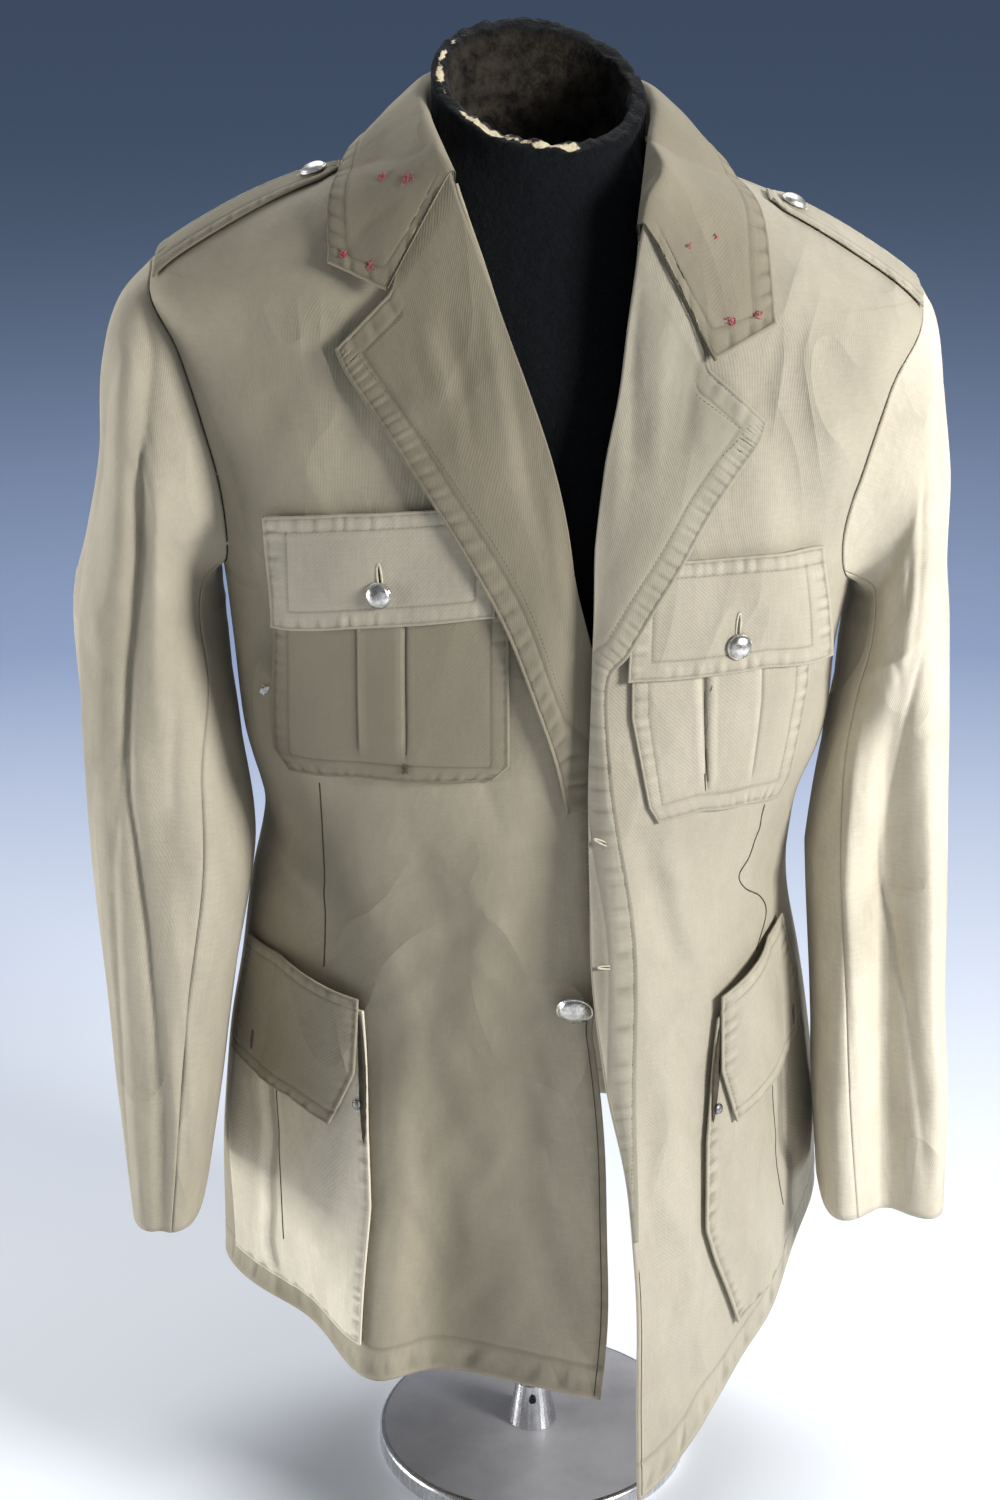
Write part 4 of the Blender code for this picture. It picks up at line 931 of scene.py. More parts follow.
def sleeve_rings(side, turn):
    angle = np.radians(turn)
    gap = ARMHOLE_GAP + 0 * angle
    points = [armhole_point(side, turn) + np.stack([side * gap, 0 * gap, 0 * gap], axis=-1)]
    rows = SLEEVE_RINGS[side]
    for i, (outer_x, outer_z, inner_x, inner_z, middle_y, half_depth) in enumerate(rows):
        outer = np.array([side * outer_x, 0, outer_z], float)
        inner = np.array([side * inner_x, 0, inner_z], float)
        middle = (outer + inner) / 2 + np.array([0, middle_y, 0])
        share = smooth_step(i / (len(rows) - 1), 0.3, 1)
        out, ahead = squared(np.cos(angle), share), squared(np.sin(angle), share)
        depth = np.array([0, -half_depth, 0])
        points.append(middle + out[..., None] * (outer - inner) / 2 + ahead[..., None] * depth)
    return np.stack(points)


def along_each(values, at):
    """Smooth value at a share of the way along axis 0, each point in its own column."""
    steps = np.linspace(0, 1, len(values))
    slopes = np.gradient(values, steps, axis=0)
    i = np.clip(np.searchsorted(steps, at) - 1, 0, len(steps) - 2)
    column = np.arange(len(at))
    span = 1 / (len(steps) - 1)
    t = ((at - steps[i]) / span)[:, None]
    picked = [array[i + more, column] for array in (values, slopes) for more in (0, 1)]
    return hermite(t, span, *picked)


def turn_from(turn, middle):
    """Degrees from one place round the sleeve to another, from -180 to 180."""
    return (turn - middle + 180) % 360 - 180


def folded(rows, turn, w):
    total = np.zeros(np.shape(turn))
    for turn_top, turn_end, start, end, depth, half_turn in rows:
        run = (w - start) / (end - start)
        turned = turn_end - turn_top - (360 if turn_end - turn_top > 180 else 0)
        away = turn_from(turn, turn_top + run * turned)
        deep = depth * np.sin(np.pi * np.clip(np.minimum(run, 0.5 + (run - 0.5) * 0.6), 0, 1))
        if end < 0.97:
            deep = deep * (1 - smooth_step(run, 0.75, 1.15))
        total += np.where((run > 0) & (run < 1.2), deep * bell(away, half_turn), 0)
    return total


def crease_shape(rows, turn, w):
    total = np.zeros(np.shape(turn))
    for line, depth, half_turn, sharp in rows:
        shares, turns = np.array(line, float).T
        away = turn_from(turn, np.interp(w, shares, turns))
        run = (w - shares[0]) / (shares[-1] - shares[0])
        live = np.where((run > 0) & (run < 1), np.sin(np.pi * np.clip(run, 0, 1)) ** 0.6, 0)
        total += live * (depth * bell(away, half_turn) + sharp * np.exp(-abs(away) / SHARP_TURN))
    return total


def sleeve_point(side, turn, w):
    near, far = sleeve_rings(side, turn), sleeve_rings(side, turn + 180)
    point = along_each(near, w)
    inward = along_each((near + far) / 2, w) - point
    inward[:, 2] = 0
    inward = unit(inward)
    swell = np.interp(w, SWELL_PLACES, SWELL[side]) * bell(turn_from(turn, SWELL_TURN), SWELL_HALF)
    creases = crease_shape(SLEEVE_CREASES[side], turn, w) * smooth_step(w, 0.004, 0.03)
    creases -= 1.35 * folded(SMALL_FOLDS[side], turn, w) * smooth_step(w, 0.03, 0.12)
    depth = folded(LARGE_FOLDS[side], turn, w) + creases - swell
    return point + depth[:, None] * inward, -inward


# %% The four pieces of the sleeves
def sleeve_cloth(side, under):
    def at(s, t):
        w = 1 - t
        seam = along(SEAM_PLACES, FRONT_SEAM[side], w)
        low, high = (seam, BACK_SEAM) if under else (BACK_SEAM - 360, seam)
        low, high = low + SEAM_TURN, high - SEAM_TURN
        share = s if side < 0 else 1 - s
        return low + share * (high - low), w

    def place(s, t, lift):
        point, outward = sleeve_point(side, *at(s, t))
        return point + np.asarray(lift, float)[..., None] * outward

    def relief(s, t):
        turn, w = at(s, t)
        turn = turn % 360
        swell = 0.55 * rumpled(turn, w * 600, 60, 110, 3.0 + side) * smooth_step(w, 0.05, 0.2)
        swell = swell * (1 - 0.85 * bell(turn - 180, 34))
        edge = np.minimum(s, 1 - s) * (130 if under else 280)
        return swell * smooth_step(w, 0, 0.04) - 0.3 * bell(edge, 1.5)

    name = f"{WORD[side]}_{'under' if under else 'top'}_sleeve_cloth"
    return Cloth(name, place, relief, CLOTH, False, False)


for side, drill_used in ((RIGHT, SHADED_SLEEVE_DRILL), (LEFT, PAINTED_LIGHT_DRILL)):
    for under, kind, columns, rows in ((False, "top", 116, 150), (True, "under", 34, 130)):
        cut_cloth(sleeve_cloth(side, under), columns, rows, drill_used, f"{kind}_sleeve_{WORD[side]}",
                  "hung", f"{WORD[side]}_front_cloth")

# %% [markdown]
# ## Pieces laid on the fronts
#
# Pockets and flaps are cut to an outline, turned under at their edges and stitched down, so
# they follow the front and its creases at a small distance. Each outline is a few rows of
# points, from the lower edge to the upper one.

# %% Tables of the pockets
BAG_LIFT, PLEAT_RISE, FLAP_LIFT, FLAP_BELLY, FLAP_END_LIFT = 1.2, 1.0, 3.7, 1.4, 0.7
BELLOWS_RISE, FLAP_SWING, FLAP_GAP, LAPEL_FOLD = 6, 4, 0.75, 0.9

CHEST_BAG = {
    RIGHT: [
        (0, [(-27, 546), (-70, 541), (-110, 538), (-152, 531)]),
        (0.1, [(-17, 556), (-70, 553), (-110, 550), (-162, 543)]),
        (1, [(-17, 690), (-70, 688), (-110, 683), (-161, 676)]),
    ],
    LEFT: [
        (0, [(71, 522), (99, 525), (126, 521), (147, 515)]),
        (0.1, [(65, 533), (95, 537), (126, 534), (155, 529)]),
        (0.5, [(54, 590), (92, 592), (130, 591), (165, 588)]),
        (1, [(54, 655), (90, 656), (130, 657), (164, 655)]),
    ],
}
CHEST_FLAP = {
    RIGHT: [
        (0, [(-25, 647), (-70, 640), (-112, 634), (-161, 624)]),
        (1, [(-22, 715), (-70, 709), (-115, 704), (-162, 697)]),
    ],
    LEFT: [
        (0, [(51, 612), (92, 612), (134, 612), (178, 602)]),
        (1, [(54, 684), (90, 683), (130, 683), (168, 682)]),
    ],
}
SKIRT_BAG = {
    RIGHT: [
        (0, [(-110, 163), (-135, 161), (-163, 158), (-202, 160)]),
        (0.45, [(-103, 256), (-135, 257), (-166, 258), (-204, 260)]),
        (1, [(-106, 380), (-135, 381), (-162, 383), (-186, 384)]),
    ],
    LEFT: [
        (0, [(126, 176), (144, 184), (163, 193), (183, 206)]),
        (0.4, [(102, 256), (127, 260), (154, 265), (184, 272)]),
        (0.65, [(102, 312), (126, 316), (149, 320), (177, 326)]),
        (1, [(109, 385), (128, 390), (145, 396), (162, 402)]),
    ],
}
SKIRT_FLAP = {
    RIGHT: [
        (0, [(-124, 299), (-150, 306), (-176, 305), (-197, 311)]),
        (0.4, [(-110, 338), (-140, 342), (-168, 344), (-193, 346)]),
        (1, [(-108, 388), (-137, 394), (-161, 398), (-182, 398)]),
    ],
    LEFT: [
        (0, [(117, 318), (135, 325), (154, 331), (170, 334)]),
        (0.5, [(109, 352), (130, 361), (150, 369), (166, 376)]),
        (1, [(110, 398), (128, 409), (142, 416), (154, 422)]),
    ],
}


# %% Laying a piece on a front
def chest_bag_lift(s, t):
    return BAG_LIFT + PLEAT_RISE * hump(s, 0.3, 0.7)


def chest_flap_lift(s, t):
    return FLAP_LIFT + FLAP_BELLY * hump(s, 0.1, 0.9) * (1 - t) + FLAP_END_LIFT * smooth_step(s, 0.6, 1)


def skirt_bag_lift(s, t):
    return BAG_LIFT + BELLOWS_RISE * hump(s, -0.1, 0.7) * (0.3 + 0.7 * t)


def skirt_flap_lift(s, t):
    return skirt_bag_lift(s, 1.0) + CLOTH + FLAP_GAP + FLAP_SWING * (1 - t) * (1 - s)


def outline_point(outline, s, t):
    heights = np.array([share for share, _ in outline])
    rows = np.array([row for _, row in outline], float)
    steps = np.linspace(0, 1, rows.shape[1])
    i = np.clip(np.searchsorted(heights, t) - 1, 0, len(heights) - 2)
    share = np.clip((t - heights[i]) / (heights[i + 1] - heights[i]), 0, 1)
    column = np.arange(len(s))
    found = []
    for axis in (0, 1):
        lines = np.stack([np.interp(s, steps, row[:, axis]) for row in rows])
        found.append(lines[i, column] * (1 - share) + lines[i + 1, column] * share)
    return found


def outline_size(outline):
    """(width, height) in millimetres of an outline, through its middle."""
    edge = np.array([row for _, row in outline], float)
    width = np.linalg.norm(np.diff(edge[-1], axis=0), axis=1).sum()
    middle = edge[:, edge.shape[1] // 2]
    return width, np.linalg.norm(np.diff(middle, axis=0), axis=1).sum()


Laid = namedtuple("Laid", "cloth outline width height rows")
laid = {}


def lay(kind, side, outline, lift_at, rows, band, seed, extra=None, sides="lrbt", pucker=0.26):
    """A piece laid on a front, with its rows of stitches. It is kept in the table laid."""
    width, height = outline_size(outline)

    def place(s, t, lift):
        x, z = outline_point(outline, s, t)
        return on_front(side, x, z, lift_at(s, t) + lift)

    def relief(s, t):
        a, b = s * width, t * height
        total = stitched_relief(a, b, width, height, rows, band, seed, pucker, sides)
        return total + (extra(a, b) if extra else 0)

    cloth = Cloth(f"{WORD[side]}_{kind}_cloth", place, relief, CLOTH, True, side < 0)
    laid[kind, side] = Laid(cloth, outline, width, height, rows)
    return cloth


def open_frame(width, height, inset, low):
    """A row of stitches down one side of a piece, along its foot and up its other side."""
    left, right = inset, width - inset
    return [(left, height), (left, low), (right, low), (right, height)]


def closed_frame(width, height, inset):
    """A row of stitches all round a piece, at this distance from its edges."""
    left, low, right, top = inset, inset, width - inset, height - inset
    return [(left, top), (left, low), (right, low), (right, top), (left, top)]


# %% [markdown]
# The chest pocket has a box pleat: a strip down its middle that stands proud, with a fold on
# each side. On the left pocket one fold has sagged open, and painted shade lies in it.

# %% Chest pockets
def pleat_relief(fold_at, strip_wide, open_by, height):
    """The strip of a box pleat: proud by a cloth's thickness, with a groove at its folds."""
    far_fold = fold_at + strip_wide

    def relief(a, b):
        upper = smooth_step(b, 12, 30)
        begins, ends = (smooth_step(a, fold - 0.8, fold + 0.8) for fold in (fold_at, far_fold))
        wide = 1.0 + open_by * b / height
        groove = (1.2 + 0.8 * open_by) * bell(a - fold_at + wide, wide)
        slope = np.exp(-np.clip(a - far_fold, 0, 99) / 9) * (a > far_fold)
        strip = 0.9 * begins * (1 - ends)
        return (strip - groove - 0.5 * bell(a - far_fold - 1.4, 1.1) - 0.3 * slope) * upper
    return relief


for side, pleat, bag_drill in ((RIGHT, (60, 32, 0.3), DEEP_SHADE_DRILL), (LEFT, (45, 30, 2.2), LEFT_DRILL)):
    word, outline = WORD[side], CHEST_BAG[side]
    width, height = outline_size(outline)
    rows = [open_frame(width, height, 10, 13), open_frame(width, height, 1.8, 2.2)]
    bag = lay("chest_pocket", side, outline, chest_bag_lift, rows, 10, 2.0 + side,
              pleat_relief(*pleat, height), "lrb")
    cut_cloth(bag, 104, 88, bag_drill, f"chest_pocket_{word}", "laid", f"{word}_front_cloth")
    width, height = outline_size(CHEST_FLAP[side])
    rows = [
        [(0, height - 10), (width, height - 10)],
        [(13, height - 10), (13, 12), (width - 13, 12), (width - 13, height - 10)],
        closed_frame(width, height, 1.8),
    ]
    flap = lay("chest_flap", side, CHEST_FLAP[side], chest_flap_lift, rows, 11, 4.0 + side)
    cut_cloth(flap, 116, 62, LEFT_DRILL, f"chest_flap_{word}", "laid", f"{word}_chest_pocket_cloth")

# %% [markdown]
# The skirt pockets are bellows pockets. Their flaps hang free and swing out. A leaf of
# painted shade along each bag's front edge stands for its open mouth, where the stud shows.

# %% Skirt pockets
def bellows_relief(side, height):
    fold_at, top = (58, 0.62) if side < 0 else (42, 0.70)

    def relief(a, b):
        away = a - fold_at - 1.5 * np.sin(b * 0.045) - 0.7 * np.sin(b * 0.11 + side)
        live = smooth_step(b, 2, 14) * (1 - smooth_step(b, height * top, height * top + 30) * 0.2)
        return live * (0.9 * bell(away - 5, 4.5) - 1.9 * np.exp(-abs(away) / 1.5)) + 0.6 * bell(a, 2.2)
    return relief


for side, bag_drill, flap_drill in ((RIGHT, PAINTED_LIGHT_DRILL, SHADED_RIGHT_DRILL), (LEFT, LEFT_DRILL, LEFT_DRILL)):
    word, outline = WORD[side], SKIRT_BAG[side]
    width, height = outline_size(outline)
    bag = lay("skirt_pocket", side, outline, skirt_bag_lift, [[(1.6, height), (1.6, 1.8), (width, 1.8)]],
              6, 6.0 + side, bellows_relief(side, height), "lb", 0.3)
    cut_cloth(bag, 64, 130, bag_drill, f"skirt_pocket_{word}", "laid", f"{word}_front_cloth")
    width, height = outline_size(SKIRT_FLAP[side])
    rows = [[(0, height - 9), (width, height - 9)], closed_frame(width, height, 1.6), [(0, 9), (width, 9)]]
    flap = lay("skirt_flap", side, SKIRT_FLAP[side], skirt_flap_lift, rows, 8, 8.0 + side)
    cut_cloth(flap, 70, 78, flap_drill, f"skirt_flap_{word}", "hung", f"{word}_front_cloth")

# %% [markdown]
# ## Lapels
#
# Each lapel is the front's own facing, turned out along the roll line. The left one goes on
# down the front edge as a strip that has stayed turned out, with the buttonholes in it.

# %% Tables of the lapels
# roll x, roll z, middle x, middle z, edge x, edge z, lift
LAPEL_ROWS = {
    RIGHT: np.array([
        (22, 530, 20, 529, 17, 528, 2.0), (23, 570, 17, 567, 10, 560, 4.0),
        (24, 615, 12, 611, -1, 594, 5.4), (22, 660, 5, 655, -17, 636, 6.6),
        (17, 700, -4, 693, -38, 676, 7.4), (8, 738, -18, 728, -60, 712, 7.4),
        (-5, 776, -34, 757, -77, 737, 6.2), (-19, 812, -50, 780, -90, 756, 5.4),
        (-33, 848, -68, 800, -104, 775, 5.2), (-43, 874, -80, 818, -113, 788, 5.0),
        (-49, 889, -87, 830, -118, 799, 5.0),
    ], float),
    LEFT: np.array([
        (56, 270, 58, 270, 60, 270, 1.5), (50, 319, 54, 319, 58, 319, 3.5),
        (39, 366, 48, 366, 57, 366, 6.0), (29, 447, 42, 447, 56, 447, 7.0),
        (28, 510, 38, 510, 48, 510, 7.0), (28, 560, 35, 560, 42, 560, 6.0),
        (29, 618, 34, 615, 40, 612, 5.6), (30, 650, 40, 640, 51, 629, 7.2),
        (31, 680, 48, 668, 66, 655, 7.8), (34, 712, 57, 697, 82, 681, 7.8),
        (39, 752, 68, 728, 98, 709, 6.6), (45, 790, 78, 757, 113, 730, 5.4),
        (50, 822, 88, 770, 124, 745, 5.2), (54, 845, 93, 782, 128, 752, 5.0),
        (57, 860, 98, 790, 131, 760, 5.0),
    ], float),
}


def lapel_at(side, s, t):
    rows = LAPEL_ROWS[side]
    row = along(np.linspace(0, 1, len(rows)), rows, t)
    roll_x, roll_z, middle_x, middle_z, edge_x, edge_z, lift = np.moveaxis(row, -1, 0)
    edge_of_front = -side * along(FRONT_LEVELS[side][:, 0], FRONT_LEVELS[side][:, 1], roll_z) + side * 0.4
    roll_x = side * np.maximum(side * roll_x, side * edge_of_front)
    middle_x = side * np.maximum(side * middle_x, side * edge_of_front + 0.3)
    inner, outer = 2 * s, 2 * s - 1
    x = np.where(s < 0.5, roll_x + inner * (middle_x - roll_x), middle_x + outer * (edge_x - middle_x))
    z = np.where(s < 0.5, roll_z + inner * (middle_z - roll_z), middle_z + outer * (edge_z - middle_z))
    return x, z, lift


EDGE_BAND, EDGE_INSET = 13, 2.0
LAPEL_SLANT, LAPEL_TOP_FROM = 0.86, 0.48


def double_row_relief(near, swell, firm):
    """A firm edge, a row close to it, another further in, and puckers between the two."""
    band = hump(near, 0, EDGE_BAND) * (near < EDGE_BAND)
    rows = 0.5 * bell(near - EDGE_BAND, 1.3) + firm * bell(near - EDGE_INSET, 0.9)
    return 0.24 * band * swell - rows + firm * bell(near, 1.2)


def lapel_cloth(side):
    def place(s, t, lift):
        x, z, rise = lapel_at(side, s, t)
        tuck = smooth_step(t, 0.965, 1) * (1 - smooth_step(s, 0.36, 0.48))
        x, z = x + side * 2.5 * tuck, z + 11 * tuck
        rise = LAPEL_FOLD + (rise - LAPEL_FOLD) * smooth_step(s, 0, 0.7)
        point = on_front(side, x, z, rise * (1 - tuck) + 0.6 * tuck + lift)
        point[..., 0] += underlap(side, z) * (1 - smooth_step(s, 0, 0.6))
        return point

    def relief(s, t):
        x, z, _ = lapel_at(side, s, t)
        edge_x, edge_z, _ = lapel_at(side, np.ones_like(s), t)
        edge = np.hypot(x - edge_x, z - edge_z) * LAPEL_SLANT
        end_x, end_z, _ = lapel_at(side, s, np.ones_like(s))
        away = 1 - smooth_step(s, LAPEL_TOP_FROM - 0.04, LAPEL_TOP_FROM)
        end = np.hypot(x - end_x, z - end_z) + 60 * away
        run = np.where(edge <= end, t * LAPEL_LONG[side], s * 70)
        swell = np.sin(run * 0.62 + 1.4 * np.sin(run * 0.07 + side)) + 0.6 * np.sin(run * 1.03 + side)
        rolls = creased(LAPEL_CREASES[side], x, z) * smooth_step(edge, 13, 30)
        return double_row_relief(np.minimum(edge, end), swell, 0.45) + rolls

    return Cloth(f"{WORD[side]}_lapel_cloth", place, relief, CLOTH, True, side < 0)


LAPEL_LONG = {RIGHT: 390, LEFT: 620}
LAPEL_CREASES = {
    RIGHT: [
        (-34, 850, -12, 730, 1.6, 7), (-52, 832, -34, 740, -1.4, 7), (-20, 800, 2, 690, -1.2, 6),
        (-66, 820, -52, 770, 1.2, 7), (6, 730, 16, 640, 1.0, 5),
    ],
    LEFT: [
        (58, 840, 52, 740, -1.4, 6), (74, 822, 66, 730, 1.6, 7), (92, 800, 84, 740, -1.0, 6),
        (50, 780, 42, 690, 1.4, 6), (38, 560, 40, 440, 1.0, 5), (48, 470, 50, 380, -0.8, 4),
    ],
}
LAPELS = {side: lapel_cloth(side) for side in (RIGHT, LEFT)}
cut_cloth(LAPELS[RIGHT], 62, 236, DEEP_SHADE_DRILL, "lapel_right", "folded", "right_front_cloth")
cut_cloth(LAPELS[LEFT], 56, 300, SHADED_LAPEL_DRILL, "lapel_left", "folded", "left_front_cloth")

# %% [markdown]
# ## Collar
#
# The collar rises round the neck and folds over. It is drawn through stations: the foot of
# its stand, its fold, the middle of its leaf and its outer edge. Where the leaf meets the
# shoulders it is pushed out so that it rests on them.

# %% Collar stations
COLLAR = np.array([
    ((-51, -71, 889), (-53, -79, 896), (-88, -99, 834), (-123, -84, 847)),
    ((-58, -55, 896), (-60, -60, 911), (-92, -78, 872), (-122, -62, 870)),
    ((-66, -30, 902), (-66, -32, 923), (-92, -36, 904), (-118, -34, 892)),
    ((-69, 2, 905), (-69, 2, 932), (-88, 3, 921), (-107, 4, 903)),
    ((-57, 43, 906), (-56, 44, 937), (-72, 61, 922), (-88, 72, 894)),
    ((0, 66, 904), (0, 68, 936), (0, 86, 917), (0, 97, 884)),
    ((57, 43, 902), (56, 44, 932), (72, 61, 917), (88, 72, 888)),
    ((69, 2, 904), (69, 2, 926), (88, 3, 914), (107, 4, 895)),
    ((66, -30, 892), (67, -33, 911), (94, -39, 891), (123, -39, 874)),
    ((62, -55, 876), (64, -63, 889), (97, -86, 848), (132, -76, 844)),
    ((59, -74, 858), (61, -82, 866), (100, -118, 797), (137, -102, 815)),
], float)
COLLAR_ACROSS = np.array((0, 0.3, 0.66, 1))
COLLAR_REST, COLLAR_LONG, COLLAR_LEAF = 3.4, 420, 112
REST_PLACES, REST_LEVELS = np.linspace(0, 2, 121), range(770, 907, 3)

places = [(side, u, z) for side in (RIGHT, LEFT) for u in REST_PLACES for z in REST_LEVELS]
sides, us, zs = (np.array(column, float) for column in zip(*places))
GRID_POINTS, GRID_NORMALS = np.empty((len(us), 3)), np.empty((len(us), 3))
for side in (RIGHT, LEFT):
    mine = sides == side
    GRID_POINTS[mine] = surface(side, us[mine], zs[mine])
    GRID_NORMALS[mine] = surface(side, us[mine], zs[mine], 1.0) - GRID_POINTS[mine]
SHOULDERS = kdtree.KDTree(len(GRID_POINTS))
for index, point in enumerate(GRID_POINTS):
    SHOULDERS.insert(point, index)
SHOULDERS.balance()


def rested(points, lift):
    found = [SHOULDERS.find_n(point, 4) for point in points]
    nearest = np.array([[index for _, index, _ in near] for near in found])
    weight = 1 / (0.5 + np.array([[away for _, _, away in near] for near in found]))
    weight = (weight / weight.sum(axis=1, keepdims=True))[..., None]
    normal = unit((GRID_NORMALS[nearest] * weight).sum(axis=1))
    height = ((points - (GRID_POINTS[nearest] * weight).sum(axis=1)) * normal).sum(axis=1)
    return points + np.maximum(lift - height, 0)[:, None] * normal


def collar_base(s, t):
    stations = along(np.linspace(0, 1, len(COLLAR)), COLLAR, s)
    slopes = np.gradient(stations, COLLAR_ACROSS, axis=1)
    i = np.clip(np.searchsorted(COLLAR_ACROSS, t) - 1, 0, 2)
    row = np.arange(len(s))
    span = (COLLAR_ACROSS[i + 1] - COLLAR_ACROSS[i])[:, None]
    share = (t - COLLAR_ACROSS[i])[:, None] / span
    low, high = stations[row, i], stations[row, i + 1]
    curve = hermite(share, span, low, high, slopes[row, i], slopes[row, i + 1])
    at_end = (1 - smooth_step(np.minimum(s, 1 - s), 0.0, 0.10)) * (i > 0)
    return curve + at_end[:, None] * (low + share * (high - low) - curve)


def collar_place(s, t, lift):
    point = collar_base(s, t)
    rest = COLLAR_REST * smooth_step(t, COLLAR_ACROSS[1] - 0.2, COLLAR_ACROSS[1] + 0.1)
    leaf = t > COLLAR_ACROSS[1] - 0.05
    if leaf.any():
        point[leaf] = rested(point[leaf], rest[leaf])
    more = 0.004
    across = collar_base(np.minimum(s + more, 1), t) - collar_base(np.maximum(s - more, 0), t)
    down = collar_base(s, np.minimum(t + more, 1)) - collar_base(s, np.maximum(t - more, 0))
    return point + np.asarray(lift, float)[:, None] * unit(np.cross(across, down))


def collar_relief(s, t):
    a, b = s * COLLAR_LONG, (1 - t) * COLLAR_LEAF
    ends = np.minimum(a, COLLAR_LONG - a)
    run = np.where(ends < b, b, a)
    swell = np.sin(run * 0.6 + 1.4 * np.sin(run * 0.09)) + 0.6 * np.sin(run * 1.0 + 2)
    soft = 0.5 * rumpled(a, b, 70, 60, 4.0) * hump(t, 0.3, 1.0)
    return (double_row_relief(np.minimum(ends, b), swell, 0.4) + soft) * smooth_step(t, 0.3, 0.4)


COLLAR_PIECE = Cloth("collar_cloth", collar_place, collar_relief, COLLAR_CLOTH, True, False)
cut_cloth(COLLAR_PIECE, 250, 66, DEEP_SHADE_DRILL, "collar", "folded", "right_front_cloth", "left_front_cloth")

# %% [markdown]
# ## Shoulder straps
#
# A strap is sewn into the shoulder's end, lies flat and buttons near the collar. It is a
# double layer, so its edges are firm, with one row near the edge and one further in.

# %% Shoulder straps
STRAP_END_X, STRAP_TIP_X = 229, {RIGHT: 118, LEFT: 136}
STRAP_FRONT_Y, STRAP_BACK_Y = (-30, -26), (14, 8)
STRAP_TAPER, STRAP_LIFT = 0.12, 1.2
STRAP_AHEAD = {RIGHT: 4, LEFT: 9}
STRAP_LONG, STRAP_WIDE = 112, 42
STRAP_ROWS = [
    [(0, inset), (STRAP_LONG - tip, inset), (STRAP_LONG - tip, STRAP_WIDE - inset), (0, STRAP_WIDE - inset)]
    for inset, tip in ((2, 2), (9, 10))
]


def shoulder_point(side, x, y, lift):
    """The point on top of a shoulder at this x and y, moved out by lift."""
    x, y = np.asarray(x, float), np.asarray(y, float)
    low, high = np.full(x.shape, 800.0), np.full(x.shape, 900.0)
    for _ in range(HALVINGS):
        level = (low + high) / 2
        rows = along(FRONT_LEVELS[side][:, 0], FRONT_LEVELS[side][:, 5:7], level)
        beyond = rows[:, 0] <= abs(x)
        ahead = y < rows[:, 1]
        u = np.where(ahead, u_at(side, level, x, 0), u_at(side, level, x, 0, 1.0, 2.0))
        wide = abs(ring_point(side, u, level)[:, 1] - rows[:, 1]) > abs(y - rows[:, 1])
        up = wide & ~beyond
        low, high = np.where(up, level, low), np.where(up, high, level)
    u = np.where(ahead, u_at(side, low, x, 0), u_at(side, low, x, 0, 1.0, 2.0))
    return surface(side, u, low, lift)


def strap_cloth(side):
    def place(s, t, lift):
        x = side * (STRAP_END_X + s * (STRAP_TIP_X[side] - STRAP_END_X))
        front_y, back_y = (np.interp(s, [0, 1], ends) - STRAP_AHEAD[side]
                           for ends in (STRAP_FRONT_Y, STRAP_BACK_Y))
        middle = (front_y + back_y) / 2
        point = 1 - 0.45 * smooth_step(s, 1 - STRAP_TAPER, 1)
        y = middle + (front_y + t * (back_y - front_y) - middle) * point
        return shoulder_point(side, x, y, STRAP_LIFT + lift)

    def relief(s, t):
        a, b = s * STRAP_LONG, t * STRAP_WIDE
        return stitched_relief(a, b, STRAP_LONG, STRAP_WIDE, STRAP_ROWS, 8, side, 0.3)

    return Cloth(f"{WORD[side]}_strap_cloth", place, relief, CLOTH, True, side > 0)


STRAPS = {side: strap_cloth(side) for side in (RIGHT, LEFT)}
for side, drill_used in ((RIGHT, DEEP_SHADE_DRILL), (LEFT, LEFT_DRILL)):
    cut_cloth(STRAPS[side], 96, 36, drill_used, f"shoulder_strap_{WORD[side]}", "laid", "back_cloth",
              f"{WORD[side]}_front_cloth")

# %% [markdown]
# ## Topstitching
#
# The stitches are short lengths of thread, each a small spindle that lies in its row's
# trough. All the stitches of one part of the tunic are one mesh.

# %% Rows of stitches on the pockets and straps
pocket_rows = Stitching("pocket_topstitching", SEWING_THREAD)
for side in (RIGHT, LEFT):
    for kind in ("chest_pocket", "chest_flap", "skirt_pocket", "skirt_flap"):
        piece = laid[kind, side]
        for row in piece.rows:
            pocket_rows.sew(*cloth_line(piece.cloth, row, piece.width, piece.height))
pocket_rows.make("the pockets and their flaps")

strap_rows = Stitching("strap_topstitching", SEWING_THREAD)
for side in (RIGHT, LEFT):
    for row in STRAP_ROWS:
        strap_rows.sew(*cloth_line(STRAPS[side], row, STRAP_LONG, STRAP_WIDE))
strap_rows.make("the straps")


# %% Rows on the collar and lapels
def lapel_line(side, inset, low_t, count=240):
    """The points of a lapel that lie this far inside its edge, up to its top end and along it."""
    t = np.linspace(low_t, 1, count)
    roll_x, roll_z, _ = lapel_at(side, 0 * t, t)
    edge_x, edge_z, _ = lapel_at(side, 0 * t + 1, t)
    wide = np.hypot(edge_x - roll_x, edge_z - roll_z)
    s = 1 - np.minimum(inset / LAPEL_SLANT / wide, 0.9)
    end_x, end_z, _ = lapel_at(side, s, 0 * t + 1)
    x, z, _ = lapel_at(side, s, t)
    inside = np.hypot(x - end_x, z - end_z) > inset
    s, t = s[inside], t[inside]
    across = np.linspace(s[-1], LAPEL_TOP_FROM, 40)
    return top_line(LAPELS[side], np.concatenate([s, across]), np.concatenate([t, 0 * across + t[-1]]))


